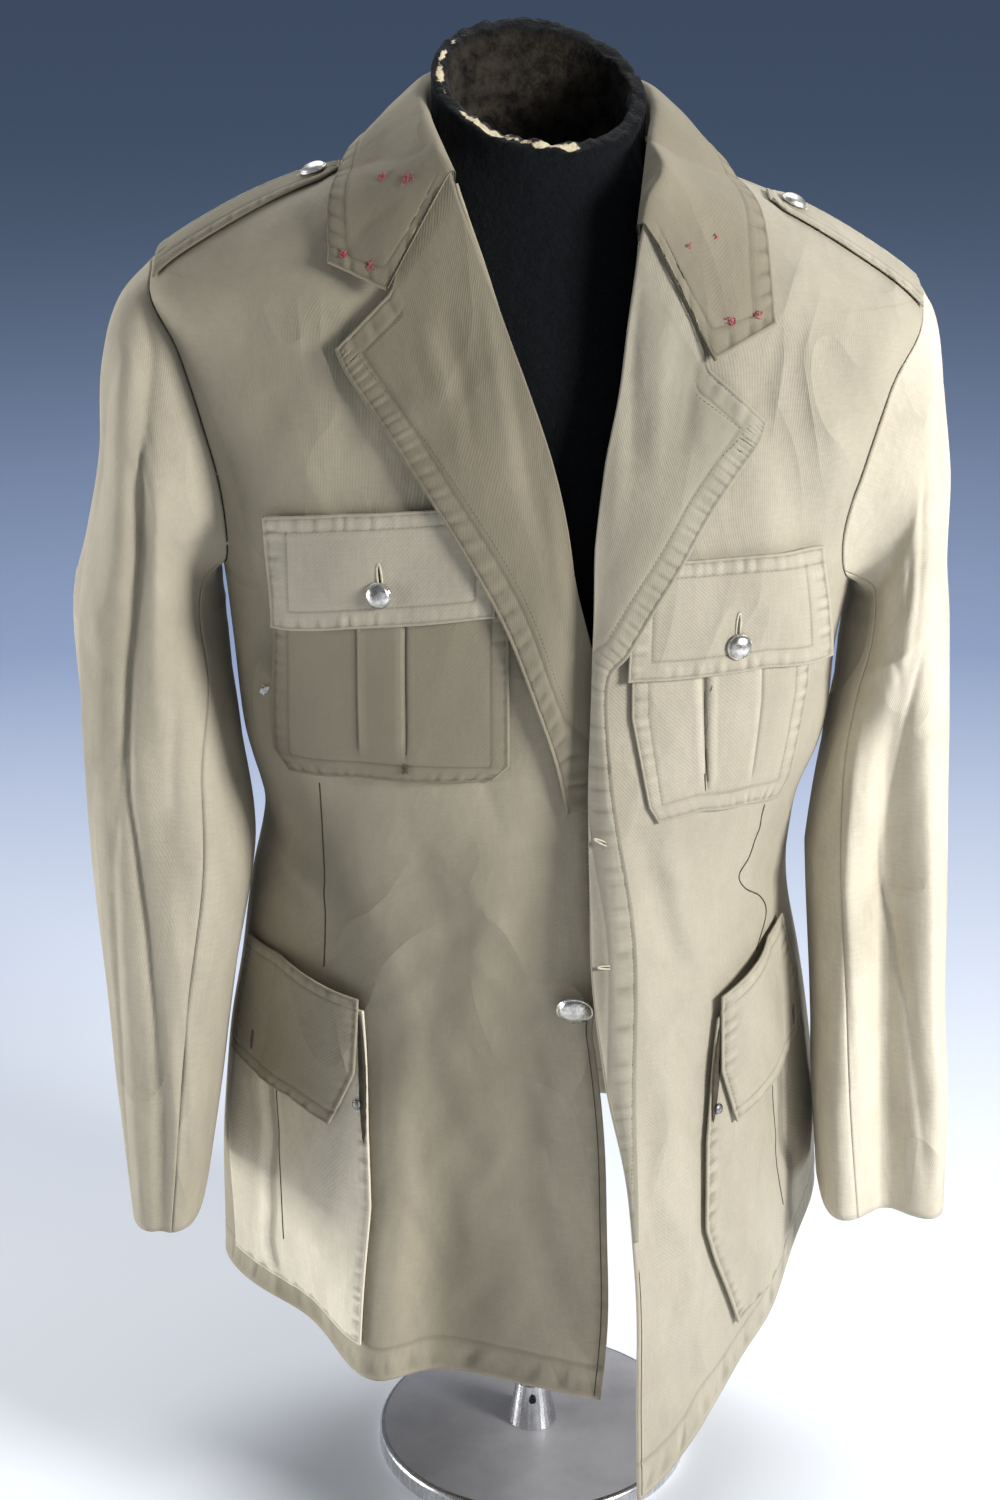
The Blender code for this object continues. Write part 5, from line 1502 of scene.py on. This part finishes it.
edge_rows = Stitching("collar_and_lapel_topstitching", SEWING_THREAD)
for side, inner_from, outer_from in ((RIGHT, 0.16, 0.05), (LEFT, 0.50, 0.02)):
    edge_rows.sew(*lapel_line(side, EDGE_BAND, inner_from))
    edge_rows.sew(*lapel_line(side, EDGE_INSET, outer_from))
for inset in (EDGE_BAND, EDGE_INSET):
    s_low, s_high, t_out = inset / COLLAR_LONG, 1 - inset / COLLAR_LONG, 1 - inset / COLLAR_LEAF
    down = np.linspace(COLLAR_ACROSS[2], t_out, 60)
    s = np.concatenate([np.full(60, s_low), np.linspace(s_low, s_high, 300), np.full(60, s_high)])
    t = np.concatenate([down, np.full(300, t_out), down[::-1]])
    edge_rows.sew(*top_line(COLLAR_PIECE, s, t))
edge_rows.make("the collar and the lapels")


# %% Rows at the front edges and hem
def level_share(z):
    return np.interp(z, PANEL_LEVELS, np.linspace(0, 1, len(PANEL_LEVELS)))


def edge_line(cloth, low_z, high_z, count):
    """The turned front edge of a panel, between two levels."""
    t = np.linspace(level_share(low_z), level_share(high_z), count)
    return top_line(cloth, np.full(count, EDGE_ROW / FRONT_WIDE), t)


panel_rows = Stitching("front_and_hem_topstitching", SEWING_THREAD)
for cloth, top in ((RIGHT_FRONT, 560), (LEFT_FRONT, 270)):
    panel_rows.sew(*edge_line(cloth, HEM_LEVEL + 3, top, 200))
for cloth in (RIGHT_FRONT, LEFT_FRONT, BACK):
    s = np.linspace(0.01, 0.99, 240)
    panel_rows.sew(*top_line(cloth, s, np.full(240, level_share(HEM_LEVEL + HEM_DEPTH))))
panel_rows.make("the fronts and the hem")

# %% [markdown]
# ## Seams
#
# A dart or a gorge seam shows as one thin dark line, where one cloth edge dips under the
# other. It is a fine tube that lies half in the cloth, in the colour of the shade in a seam.

# %% Tubes, leaves and joined meshes
def tube(path, ups, radius, sides=6):
    """Rings of points round a path, and the faces between them, closed at both ends."""
    ahead = unit(np.gradient(path, axis=0))
    aside = unit(np.cross(ups, ahead))
    up = unit(np.cross(ahead, aside))
    angles = np.linspace(0, 2 * np.pi, sides, endpoint=False)
    radius = np.broadcast_to(radius, len(path))[:, None, None]
    ring = np.cos(angles)[None, :, None] * aside[:, None] + np.sin(angles)[None, :, None] * up[:, None]
    return (path[:, None] + radius * ring).reshape(-1, 3), ring_faces(len(path), sides)


def ring_faces(rings, sides):
    """Faces between rings of points that follow each other, and a cap at each end."""
    faces = []
    for low in range(0, (rings - 1) * sides, sides):
        for j in range(sides):
            k = (j + 1) % sides
            faces.append((low + j, low + k, low + sides + k, low + sides + j))
    last = (rings - 1) * sides
    return faces + [tuple(range(sides - 1, -1, -1)), tuple(range(last, last + sides))]


def prism(rim, up):
    """A flat leaf with this rim, and another rim this way under it."""
    n = len(rim)
    faces = [tuple(range(n)), tuple(range(2 * n - 1, n - 1, -1))]
    faces += [(i, i + n, (i + 1) % n + n, (i + 1) % n) for i in range(n)]
    return np.concatenate([rim, rim - up]), faces


def in_edit_mode(obj, step):
    """Runs a step on the whole mesh of an object, and then turns its faces outwards."""
    bpy.ops.object.select_all(action="DESELECT")
    obj.select_set(True)
    bpy.context.view_layer.objects.active = obj
    bpy.ops.object.mode_set(mode="EDIT")
    step()
    bpy.ops.mesh.select_all(action="SELECT")
    bpy.ops.mesh.normals_make_consistent(inside=False)
    bpy.ops.object.mode_set(mode="OBJECT")


def joined(name, parts, finish_used, smooth=True):
    """One mesh from several (points, faces) in millimetres."""
    points, faces, start = [], [], 0
    for part_points, part_faces in parts:
        points.append(part_points)
        faces += [tuple(start + i for i in face) for face in part_faces]
        start += len(part_points)
    obj = mesh_object(name, np.concatenate(points), faces)
    in_edit_mode(obj, lambda: None)
    if smooth:
        bpy.ops.object.shade_smooth()
    dress(obj, finish_used)
    sew_on(obj)
    print(f"{name}: {len(faces)} faces")


def curved(corners, count):
    """Points on a smooth line through corners."""
    steps = np.linspace(0, 1, len(corners))
    return along(steps, np.array(corners, float), np.linspace(0, 1, count))


def front_line(side, corners, count, lift):
    line = curved(corners, count)
    low, high = (on_front(side, line[:, 0], line[:, 1], np.full(count, lift + more)) for more in (0, 1.0))
    return low, unit(high - low)


# %% [markdown]
# The painted shade of the darts, the mouths of the skirt pockets, the sharp folds in the pockets,
# the turned front edges and the two gorge seams is made here, each kind as one mesh.

# %% Seam lines
DARTS = {
    RIGHT: [(-134, 528), (-133.5, 492), (-133, 458), (-134, 425), (-135, 399)],
    LEFT: [(141, 512), (137, 494), (132, 478), (126, 468), (131, 456), (142, 443), (146, 428), (139, 410)],
}
darts = [tube(*front_line(side, DARTS[side], 60, 0.05), 0.5) for side in (RIGHT, LEFT)]
joined("dart_seams", darts, SEAM_SHADE)


def share_on_outline(outline, want_x, want_z):
    """The (s, t) of an outline at which it has this x and height."""
    shares = np.linspace(0, 1, 80)
    s, t = (grid.ravel() for grid in np.meshgrid(shares, shares))
    x, z = outline_point(outline, s, t)
    best = np.argmin((x - want_x) ** 2 + (z - want_z) ** 2)
    return s[best], t[best]


def dark_leaf(path, ups, half_width):
    """A flat leaf of shade, widest in its middle, that lies in an open mouth or fold."""
    aside = unit(np.cross(ups, unit(np.gradient(path, axis=0))))
    wide = (half_width * np.sin(np.pi * np.linspace(0, 1, len(path))) ** 0.6 + 0.05)[:, None] * aside
    corners = [path + wide + 0.2 * ups, path - wide + 0.2 * ups, path - wide, path + wide]
    return np.stack(corners, axis=1).reshape(-1, 3), ring_faces(len(path), 4)


def piece_line(piece, corners, lift):
    """A line on a laid piece through points given by their x and height on the front."""
    count = 48
    line = curved(corners, count)
    found = [share_on_outline(piece.outline, x, z) for x, z in line[:: count // 8]]
    s, t = (curved([(value, 0) for value in column], count)[:, 0] for column in zip(*found))
    low, up = top_line(piece.cloth, s, t)
    return low + lift * up, up


# A leaf of painted shade along each skirt pocket bag's front edge stands for its open mouth.
mouths = []
for side, s_in, t_low in ((RIGHT, 0.022, 0.62), (LEFT, 0.030, 0.70)):
    path, ups = top_line(laid["skirt_pocket", side].cloth, np.full(40, s_in), np.linspace(0.99, t_low, 40))
    mouths.append(dark_leaf(path + 1.1 * ups, ups, 3.0))
joined("skirt_pocket_mouth_shade", mouths, SEAM_SHADE)

# Thin tubes of painted shade along sharp pocket folds, and a leaf of painted shade in the left chest pocket's
# sagged fold.
FOLD_LINES = [
    ("chest_pocket", RIGHT, [(-78, 626), (-78, 590), (-78, 549)], 0.45),
    ("skirt_pocket", RIGHT, [(-167, 302), (-166, 266), (-166, 232), (-163, 170)], 0.5),
    ("skirt_pocket", LEFT, [(149, 322), (151, 290), (153, 263), (163, 212)], 0.5),
]
SAGGED_FOLD = [(101, 606), (100, 570), (99, 530)]
folds = [tube(*piece_line(laid[kind, side], corners, -0.05), radius)
         for kind, side, corners, radius in FOLD_LINES]
folds.append(dark_leaf(*piece_line(laid["chest_pocket", LEFT], SAGGED_FOLD, 0.15), 0.8))
joined("pocket_fold_shade_lines", folds, SEAM_SHADE)

# A thin tube of painted shade along the row of each turned front edge.
turns = []
for cloth, high_z in ((RIGHT_FRONT, 395), (LEFT_FRONT, 268)):
    path, ups = edge_line(cloth, HEM_LEVEL + 2, high_z, 220)
    turns.append(tube(path - 0.12 * ups, ups, 0.42))
joined("front_edge_shade_lines", turns, SEAM_SHADE)

gorges = []
for s_end in (0.0, 1.0):
    low, up = top_line(COLLAR_PIECE, np.full(50, s_end), np.linspace(0.08, 0.66, 50))
    gorges.append(tube(low - 0.5 * up, up, 0.45))
joined("gorge_seams", gorges, SEAM_SHADE)

# %% [markdown]
# ## Buttonholes and bar tacks
#
# A buttonhole is a slit bound with close thread. It is made as a ring of thread, drawn out
# long, round a flat dark leaf of painted shade in the slit. The pocket buttons are pulled to the lower end of
# theirs.

# %% Buttonholes
def on_piece(piece, s, t, angle, lift=0.0):
    """A spot on a piece: its place, a direction at this angle to the piece's width, and up."""
    at_s, at_t = np.array([s]), np.array([t])
    out = piece.relief(at_s, at_t) + (piece.thickness if piece.outward else 0) + lift
    start = piece.place(at_s, at_t, out)[0]
    across = unit(piece.place(at_s + 0.01, at_t, out)[0] - start)
    along_t = unit(piece.place(at_s, at_t + 0.01, out)[0] - start)
    up = unit(piece.place(at_s, at_t, out + 1)[0] - start)
    ahead = math.cos(angle) * across + math.sin(angle) * along_t
    return start, unit(ahead - (ahead * up).sum() * up), up


def bound_slit(spot, long, wide, thread_radius):
    place, ahead, up = spot
    aside = np.cross(up, ahead)
    turns = np.linspace(0, 2 * np.pi, 41)
    path = place + np.outer(np.cos(turns) * long / 2, ahead) + np.outer(np.sin(turns) * wide / 2, aside)
    thread = tube(path, np.tile(up, (41, 1)), thread_radius)
    return thread, prism(path[:-1] + 0.12 * up, 0.24 * up)


SLITS = []


def bind(spots, long, wide, thread_radius):
    """The threads of several alike buttonholes. Their slits are added to the list SLITS."""
    threads, slits = zip(*(bound_slit(spot, long, wide, thread_radius) for spot in spots))
    SLITS.extend(slits)
    return list(threads)


def on_flap(kind, side, at, angle):
    flap = laid[kind, side]
    return on_piece(flap.cloth, *share_on_outline(flap.outline, *at), angle, 0.1)


def lapel_share(side, z):
    rows = LAPEL_ROWS[side]
    return float(np.interp(z, rows[:, 1], np.linspace(0, 1, len(rows))))


chest_at = [on_flap("chest_flap", RIGHT, (-92, 668), 1.5), on_flap("chest_flap", LEFT, (115, 641), 1.45)]
skirt_at = [on_flap("skirt_flap", RIGHT, (-182, 328), 1.45), on_flap("skirt_flap", LEFT, (162, 351), 1.45)]
strap_at = [on_piece(STRAPS[side], s, 0.5, 0.0, 0.1) for side, s in ((RIGHT, 0.84), (LEFT, 0.82))]
strip_at = [on_piece(LAPELS[LEFT], s, lapel_share(LEFT, z), slant, 0.1)
            for z, s, slant in ((515, 0.50, -0.45), (437, 0.42, -0.12))]
chest_holes, skirt_holes = bind(chest_at, 17, 2.6, 0.7), bind(skirt_at, 13, 1.6, 0.55)
strap_holes, strip_holes = bind(strap_at, 15, 2.4, 0.6), bind(strip_at, 15, 1.8, 0.6)
joined("buttonholes", chest_holes + strap_holes + strip_holes, PALE_THREAD)
joined("flap_buttonholes", skirt_holes, PURPLE_THREAD)
joined("buttonhole_slit_shade", SLITS, SEAM_SHADE)

# %% [markdown]
# ## Thread remnants, a bar tack and a speck of lint
#
# Short pink threads are left on the collar where something was once sewn on. Each remnant
# is a few bent threads that cross. A bar tack holds the foot of the right pocket's pleat.

# %% Loose threads
def loose_threads(spot, size, seed, count=5, radius=0.24):
    place, ahead, up = spot
    aside = np.cross(up, ahead)
    parts = []
    for i in range(count):
        turn = seed * 1.7 + i * 2.4
        reach = size * (0.55 + 0.45 * math.sin(seed + 3.1 * i))
        share = np.linspace(-1, 1, 9)
        bend = 0.28 * reach * np.sin(2.6 * share + seed + i)
        line = np.outer(share * reach / 2, math.cos(turn) * ahead + math.sin(turn) * aside)
        line += np.outer(bend, -math.sin(turn) * ahead + math.cos(turn) * aside)
        line += np.outer(0.25 + 0.7 * np.abs(np.sin(3.3 * share + i)), up)
        centre = place + size * 0.16 * (math.cos(4.1 * i) * ahead + math.sin(4.1 * i) * aside)
        parts.append(tube(centre + line, np.tile(up, (9, 1)), radius, 5))
    return parts


pink = []
for seed, (s, t, size) in enumerate((
    (0.143, 0.62, 6.0), (0.10, 0.49, 7.5), (0.03, 0.90, 6.5), (0.03, 0.74, 6.5),
    (0.972, 0.90, 5.5), (0.965, 0.76, 7.5), (0.878, 0.68, 3.4), (0.918, 0.53, 3.2),
)):
    few = 3 if size < 5 else 7
    pink += loose_threads(on_piece(COLLAR_PIECE, s, t, 0.4), size, seed + 1, few)
joined("rank_thread_remnants", pink, PINK_THREAD)

tacks = []
for s, t in ((0.412, 0.085), (0.412, 0.06)):
    tacks += loose_threads(on_piece(laid["chest_pocket", RIGHT].cloth, s, t, 1.5, 0.1), 5.0, 3 + s, 4, 0.3)
joined("pleat_bar_tack", tacks, SEWING_THREAD)

LINT_AT, LINT_ASIDE = (-168.0, 579.0), (-165.0, 579.0)
LINT_RIM = 1.5 * np.array([(-3.2, -1.6), (-0.6, -2.4), (0.6, -0.4), (2.6, 0.4), (3.6, 2.6), (1.2, 1.6),
                           (-0.4, 0.6), (-2.0, 0.2)])
spots = np.array([LINT_AT, LINT_ASIDE, LINT_AT])
start, beside, above = on_front(RIGHT, spots[:, 0], spots[:, 1], np.array([0.3, 0.3, 1.3]))
lint_ahead, lint_up = unit(beside - start), above - start
lint_aside = np.cross(unit(lint_up), lint_ahead)
rim = start + np.outer(LINT_RIM[:, 0], lint_ahead) + np.outer(LINT_RIM[:, 1], lint_aside)
lint = [prism(rim + 0.5 * lint_up, 0.5 * lint_up)]
lint += loose_threads((rim.mean(axis=0), lint_ahead, unit(lint_up)), 6.0, 2.0, 4, 0.22)
joined("lint_speck", lint, WHITE_LINT, smooth=False)

# %% [markdown]
# ## Buttons
#
# The buttons are pressed from white metal: a plain dome with a rolled rim, on a short
# shank. One profile is spun round for each size. The domes are worn bright.

# %% Pressed metal buttons
SMALL_BUTTON, FRONT_BUTTON, BUTTON_GAP = (8.2, 3.4), (11.5, 4.7), 0.35
CHEST_BUTTON_AT = {RIGHT: (-93, 657), LEFT: (116, 629)}
STRAP_BUTTON_AT = {RIGHT: (-133, -10), LEFT: (151, -10)}
FRONT_BUTTON_AT, FRONT_BUTTON_RISE = (22, 405), 3.2
FRONT_BUTTON_SAG, FRONT_BUTTON_TILT = (1.5, 0, -1.5), (0.10, 0, -0.55)
SPIN_STEPS, WELD = 56, 0.00002


def button_profile(radius, dome):
    """(distance out, height) points from the top of the dome to the middle of the back."""
    arc = [(radius * 0.9 * math.sin(a), 1.5 + dome * math.cos(a)) for a in np.linspace(0.04, 1.45, 14)]
    roll = [(radius * 0.91, 1.7), (radius * 0.96, 1.75), (radius, 1.35), (radius * 1.0, 0.75),
            (radius * 0.95, 0.3), (radius * 0.86, 0.12)]
    return [(0, 1.5 + dome)] + arc + roll + [(0, 0.12)]


def close_lathe():
    bpy.ops.mesh.select_all(action="SELECT")
    bpy.ops.mesh.spin(steps=SPIN_STEPS, angle=2 * math.pi, center=(0, 0, 0), axis=(0, 0, 1))
    bpy.ops.mesh.select_all(action="SELECT")
    bpy.ops.mesh.remove_doubles(threshold=WELD)


def pressed_button(name, node, size, foot, normal, metal=WHITE_METAL):
    bpy.ops.object.select_all(action="DESELECT")
    profile = button_profile(*size)
    bpy.ops.mesh.primitive_circle_add(vertices=3, radius=0.001)
    obj = bpy.context.object
    obj.name = obj.data.name = name
    obj.data.clear_geometry()
    edges = [(i, i + 1) for i in range(len(profile) - 1)]
    obj.data.from_pydata([(r * MM, 0, z * MM) for r, z in profile], edges, [])
    in_edit_mode(obj, close_lathe)
    turn = Vector(normal).to_track_quat("Z", "Y").to_matrix().to_4x4()
    turn.translation = Vector(metres(np.asarray(foot)))
    obj.data.transform(turn)
    bpy.ops.object.shade_smooth_by_angle(angle=math.radians(50))
    dress(obj, metal)
    sew_on(obj, node)


def seat(point_at, side, first, second, height):
    """(foot, normal) of a button on the cloth whose points point_at gives."""
    at = [np.full(2, float(value)) for value in (first, second)]
    low, high = point_at(side, *at, np.array([0.0, 10.0]))
    normal = unit(high - low)
    return low + normal * height, normal


CHEST_SEAT = FLAP_LIFT + FLAP_BELLY * 0.7 + CLOTH + BUTTON_GAP
for side in (RIGHT, LEFT):
    word = WORD[side]
    foot, normal = seat(on_front, side, *CHEST_BUTTON_AT[side], CHEST_SEAT)
    pressed_button(f"{word}_chest_button", f"chest_button_{word}", SMALL_BUTTON, foot, normal)
    x, y = STRAP_BUTTON_AT[side]
    foot, normal = seat(shoulder_point, side, x, y - STRAP_AHEAD[side], STRAP_LIFT + CLOTH + BUTTON_GAP)
    pressed_button(f"{word}_strap_button", f"strap_button_{word}", SMALL_BUTTON, foot, normal, PALER_ROUGHER_METAL)
foot, normal = seat(on_front, RIGHT, *FRONT_BUTTON_AT, BUTTON_GAP + FRONT_BUTTON_RISE)
foot, normal = foot + np.array(FRONT_BUTTON_SAG), unit(normal + np.array(FRONT_BUTTON_TILT))
pressed_button("front_fastening_button", "front_button", FRONT_BUTTON, foot, normal)
for side in (RIGHT, LEFT):
    dress(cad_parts[f"pocket_stud_{WORD[side]}"], DARK_METAL)
print("five buttons and two studs made")

# %% [markdown]
# ## The dress form
#
# The form is foam in a black jersey cover. The cover has frayed round the neck, where cream
# foam shows, and the neck is hollow and dark. It is drawn through rings from its lower edge
# up to the shoulders, over the rim and down into the hollow.

# %% Dress form
FORM_LEVELS = [
    (372, 140, -98, 96), (376, 150, -106, 104), (420, 152, -112, 96), (470, 142, -108, 84),
    (540, 144, -112, 88), (620, 158, -118, 100), (690, 172, -118, 106), (750, 190, -108, 104),
    (800, 203, -93, 93), (828, 203, -80, 80),
]
FORM_SHOULDERS, THROAT_DIP, NECK_FOOT, FORM_SEAT = (848, 892), 50, 900, 1.1
FORM_SIDES, FORM_SQUARE = 144, 2.3
NECK_HEIGHT, NECK_LEAN_BACK, NECK_LEAN_SIDE = 937, 0.50, -0.13
NECK_RADIUS_X, NECK_RADIUS_Y, NECK_WALL, NECK_HOLLOW = 64, 60, 9, 60
ANGLES = np.linspace(0, 2 * np.pi, FORM_SIDES, endpoint=False)


def form_ring(z, half_width, front_y, back_y):
    across, ahead = np.sin(ANGLES), np.cos(ANGLES)
    reach = (abs(across) ** FORM_SQUARE + abs(ahead) ** FORM_SQUARE) ** (-1 / FORM_SQUARE)
    depth = np.where(ahead > 0, -front_y, back_y)
    level = np.full(FORM_SIDES, float(z))
    return np.stack([half_width * across * reach, -depth * ahead * reach, level], axis=1)


def shoulder_ring(share):
    level = FORM_SHOULDERS[0] + share * (FORM_SHOULDERS[1] - FORM_SHOULDERS[0])
    half = FORM_SIDES // 2
    turns = np.maximum(np.arange(half + 1), 1) / (half / 2)
    dips = share * THROAT_DIP * (1 - smooth_step(turns, 0, 0.7))
    halves = []
    for side in (LEFT, RIGHT):
        halves.append(surface(side, turns, level - dips, np.full(half + 1, -(CLOTH + FORM_SEAT))))
    left, right = halves
    ring = np.concatenate([left[:-1], [(left[-1] + right[-1]) / 2], right[-2:0:-1]])
    ring[0] = (ring[1] + ring[-1]) / 2
    return ring


def neck_ring(z, inset=0.0, lean=0.0, dip=0.0):
    x = (NECK_RADIUS_X - inset) * np.sin(ANGLES)
    y = -(NECK_RADIUS_Y - inset) * np.cos(ANGLES)
    low = dip * np.maximum(np.cos(ANGLES), 0) ** 1.5
    return np.stack([x, y, z - low + lean * (NECK_LEAN_BACK * y + NECK_LEAN_SIDE * x)], axis=1)


def between(low, high, shares):
    return [low + share * (high - low) for share in shares]


# %% Rings of the dress form
FORM_FOOT, FORM_TOP, FOOT_ROUND = 372, 828, 4
levels_at = [FORM_FOOT, FORM_FOOT + FOOT_ROUND / 2, *np.linspace(FORM_FOOT + FOOT_ROUND, FORM_TOP, 30)]
rows = np.array(FORM_LEVELS, float)
form_rings = [form_ring(z, *row) for z, row in zip(levels_at, along(rows[:, 0], rows[:, 1:], levels_at))]
form_rings += [shoulder_ring(share) for share in (0, 0.3, 0.6, 0.8, 1)]
neck_low, neck_top = neck_ring(NECK_FOOT, dip=THROAT_DIP), neck_ring(NECK_HEIGHT, lean=1)
form_rings += [neck_low] + between(neck_low, neck_top, (0.2, 0.4, 0.6, 0.75, 0.85, 0.93, 1))
outer_rows = len(form_rings)
form_rings += [neck_ring(NECK_HEIGHT + 0.8, inset, 1) for inset in (2.0, 4.5, 7.0)]
neck_in = neck_ring(NECK_HEIGHT, NECK_WALL, 1)
form_rings += [neck_in]
inner_from = len(form_rings)
neck_in_low = neck_ring(NECK_FOOT, NECK_WALL)
neck_floor = neck_ring(NECK_HEIGHT - NECK_HOLLOW, NECK_WALL + 8)
form_rings += between(neck_in, neck_in_low, (0.1, 0.25, 0.45, 0.7, 1))
form_rings += between(neck_in_low, neck_floor, (0.5, 1))
points = np.stack(form_rings)
count = len(points)
last_flat, on_neck = outer_rows - 14, outer_rows - 6
open_front = smooth_step(np.cos(ANGLES), 0.3, 0.75)[:, None]
for i in range(last_flat + 1, on_neck):
    share = (i - last_flat) / (on_neck - last_flat)
    straight = points[last_flat] + share * (points[on_neck] - points[last_flat])
    points[i] += open_front * (straight - points[i])
for _ in range(10):
    middle = points[last_flat:on_neck + 3]
    points[last_flat + 1:on_neck + 2] += 0.5 * open_front * ((middle[:-2] + middle[2:]) / 2 - middle[1:-1])

# %% [markdown]
# Two attributes say where the cover is worn to the foam and where the hollow begins. Slow
# noise then roughens the worn rim and the torn wall of the hollow.

# %% Worn rim and hollow
foam, hollow = np.zeros((count, FORM_SIDES)), np.zeros((count, FORM_SIDES))
hollow[inner_from:] = 1
hollow[inner_from - 1] = 0.55
worn_at = 0.34 + 0.28 * np.cos(ANGLES + 0.65) + 0.10 * np.sin(3 * ANGLES + 0.5)
for i in range(outer_rows - 5, inner_from + 2):
    at_rim = math.exp(-(((i - (outer_rows + 1.2)) / 1.7) ** 2))
    foam[i] = at_rim * worn_at * (1.0 + 0.35 * np.sin(5 * ANGLES + 1.2) * np.sin(2 * ANGLES))
for i in range(outer_rows - 3, inner_from + 4):
    for j in range(FORM_SIDES):
        p = points[i, j]
        shake = noise.noise(Vector(p) * 0.16) * 2.6 + noise.noise(Vector(p) * 0.5) * 1.3
        points[i, j] += np.array([0.35 * shake, 0.35 * shake, shake]) * (0.4 if i < outer_rows - 1 else 1)
for i in range(inner_from + 1, count - 1):
    for j in range(FORM_SIDES):
        p = points[i, j]
        inward = -p[:2] / max(np.hypot(*p[:2]), 1)
        points[i, j, :2] += inward * (1.5 + 3.0 * noise.noise(Vector(p) * 0.09 + Vector((7, 0, 0))))
form_cover = mesh_object("form_cover", points.reshape(-1, 3), ring_faces(count, FORM_SIDES))
for name, values in (("foam", foam), ("hollow", hollow)):
    form_cover.data.attributes.new(name, "FLOAT", "POINT").data.foreach_set("value", values.ravel())
form_cover.data.shade_smooth()
dress(form_cover, JERSEY)
sew_on(form_cover, "form_torso")
print("form_cover:", len(form_cover.data.polygons), "faces")

# %% [markdown]
# ## Stand
#
# The base is a heavy painted steel disc with a rounded, polished edge. A flared socket holds
# the pole, and a set screw clamps it. The disc is a cylinder whose upper edge is bevelled.

# %% Base, socket and pole
BASE_RADIUS, BASE_EDGE = 109, 4


def round_top_edge():
    bpy.ops.mesh.select_mode(type="EDGE")
    bpy.ops.mesh.bevel(offset=BASE_EDGE * MM, segments=5, affect="EDGES")


bpy.ops.object.select_all(action="DESELECT")
bpy.ops.mesh.primitive_cylinder_add(vertices=180, radius=BASE_RADIUS * MM, depth=BASE_HEIGHT * MM,
                                    location=(0, 0, BASE_HEIGHT * MM / 2))
base = bpy.context.object
base.name = base.data.name = "base_disc"
bpy.ops.object.transform_apply(location=True, rotation=True, scale=True)
bpy.ops.object.mode_set(mode="EDIT")
bpy.ops.mesh.select_all(action="DESELECT")
bpy.ops.object.mode_set(mode="OBJECT")
for edge in base.data.edges:
    ends = [base.data.vertices[i].co for i in edge.vertices]
    edge.select = all(end.z > 0.9 * BASE_HEIGHT * MM for end in ends)
in_edit_mode(base, round_top_edge)
bpy.ops.object.shade_smooth_by_angle(angle=math.radians(35))
dress(base, BASE_STEEL)
base.data.materials.append(BRIGHT_STEEL)
for face in base.data.polygons:
    out = math.hypot(face.center.x, face.center.y)
    face.material_index = int(out > (BASE_RADIUS - BASE_EDGE - 1) * MM and face.center.z > 0.0005)
sew_on(base, "stand_base")
for node, steel in (("stand_socket", BRIGHT_STEEL), ("stand_pole", BRIGHT_STEEL), ("set_screw", SCREW_STEEL)):
    dress(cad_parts[node], steel)
print("base: bevelled disc,", len(base.data.polygons), "faces")

# %% [markdown]
# ## Floor and light
#
# The tunic stands on a plain floor of pale paper that turns bluer and darker further back,
# the darkening painted shade. One broad lamp stands in front on the right, high up, so that
# folds shade to the left. A weaker one fills from the left, low down, one lights the front
# and one the paper behind.

# %% Floor
FLOOR_HALF, FLOOR_MIDDLE_Y = 9.0, 4.0
bpy.ops.object.select_all(action="DESELECT")
bpy.ops.mesh.primitive_plane_add(size=2 * FLOOR_HALF, location=(0, 0, 0))
floor = bpy.context.object
floor.name = floor.data.name = "floor_paper"
floor.data.transform(Matrix.Translation((0, FLOOR_MIDDLE_Y, 0)))
dress(floor, FLOOR_PAPER)


# %% Lamps
def softbox(name, place, aim, size, power, tint):
    lamp = bpy.data.lights.new(name, "AREA")
    lamp.shape, lamp.energy, lamp.color = "RECTANGLE", power, tint
    lamp.size, lamp.size_y = size
    obj = bpy.data.objects.new(name, lamp)
    obj.location = place
    obj.rotation_euler = (Vector(aim) - Vector(place)).to_track_quat("-Z", "Y").to_euler()
    bpy.context.scene.collection.objects.link(obj)


WARM, AIR_TINT, AIR_STRENGTH = (1.0, 0.99, 0.97), (0.74, 0.80, 0.93, 1), 0.19
softbox("key_softbox", (1.5, -1.08, 1.3), (0.05, 0, 0.55), (0.5, 0.5), 50, (1.0, 0.985, 0.955))
softbox("left_softbox", (-2.4, 0.05, 0.40), (-0.1, 0, 0.22), (1.0, 0.8), 44, WARM)
softbox("low_front_softbox", (0.1, -2.3, 0.7), (0, 0, 0.35), (1.8, 0.9), 3, WARM)
softbox("floor_softbox", (0.1, 1.3, 2.5), (0.0, 0.5, 0.0), (2.2, 1.0), 42, (0.97, 0.98, 1.0))
world = bpy.data.worlds.new("studio_air")
world.use_nodes = True
plug(world.node_tree, world.node_tree.nodes["Background"], {"Color": AIR_TINT, "Strength": AIR_STRENGTH})
bpy.context.scene.world = world
print("floor and four lamps placed")
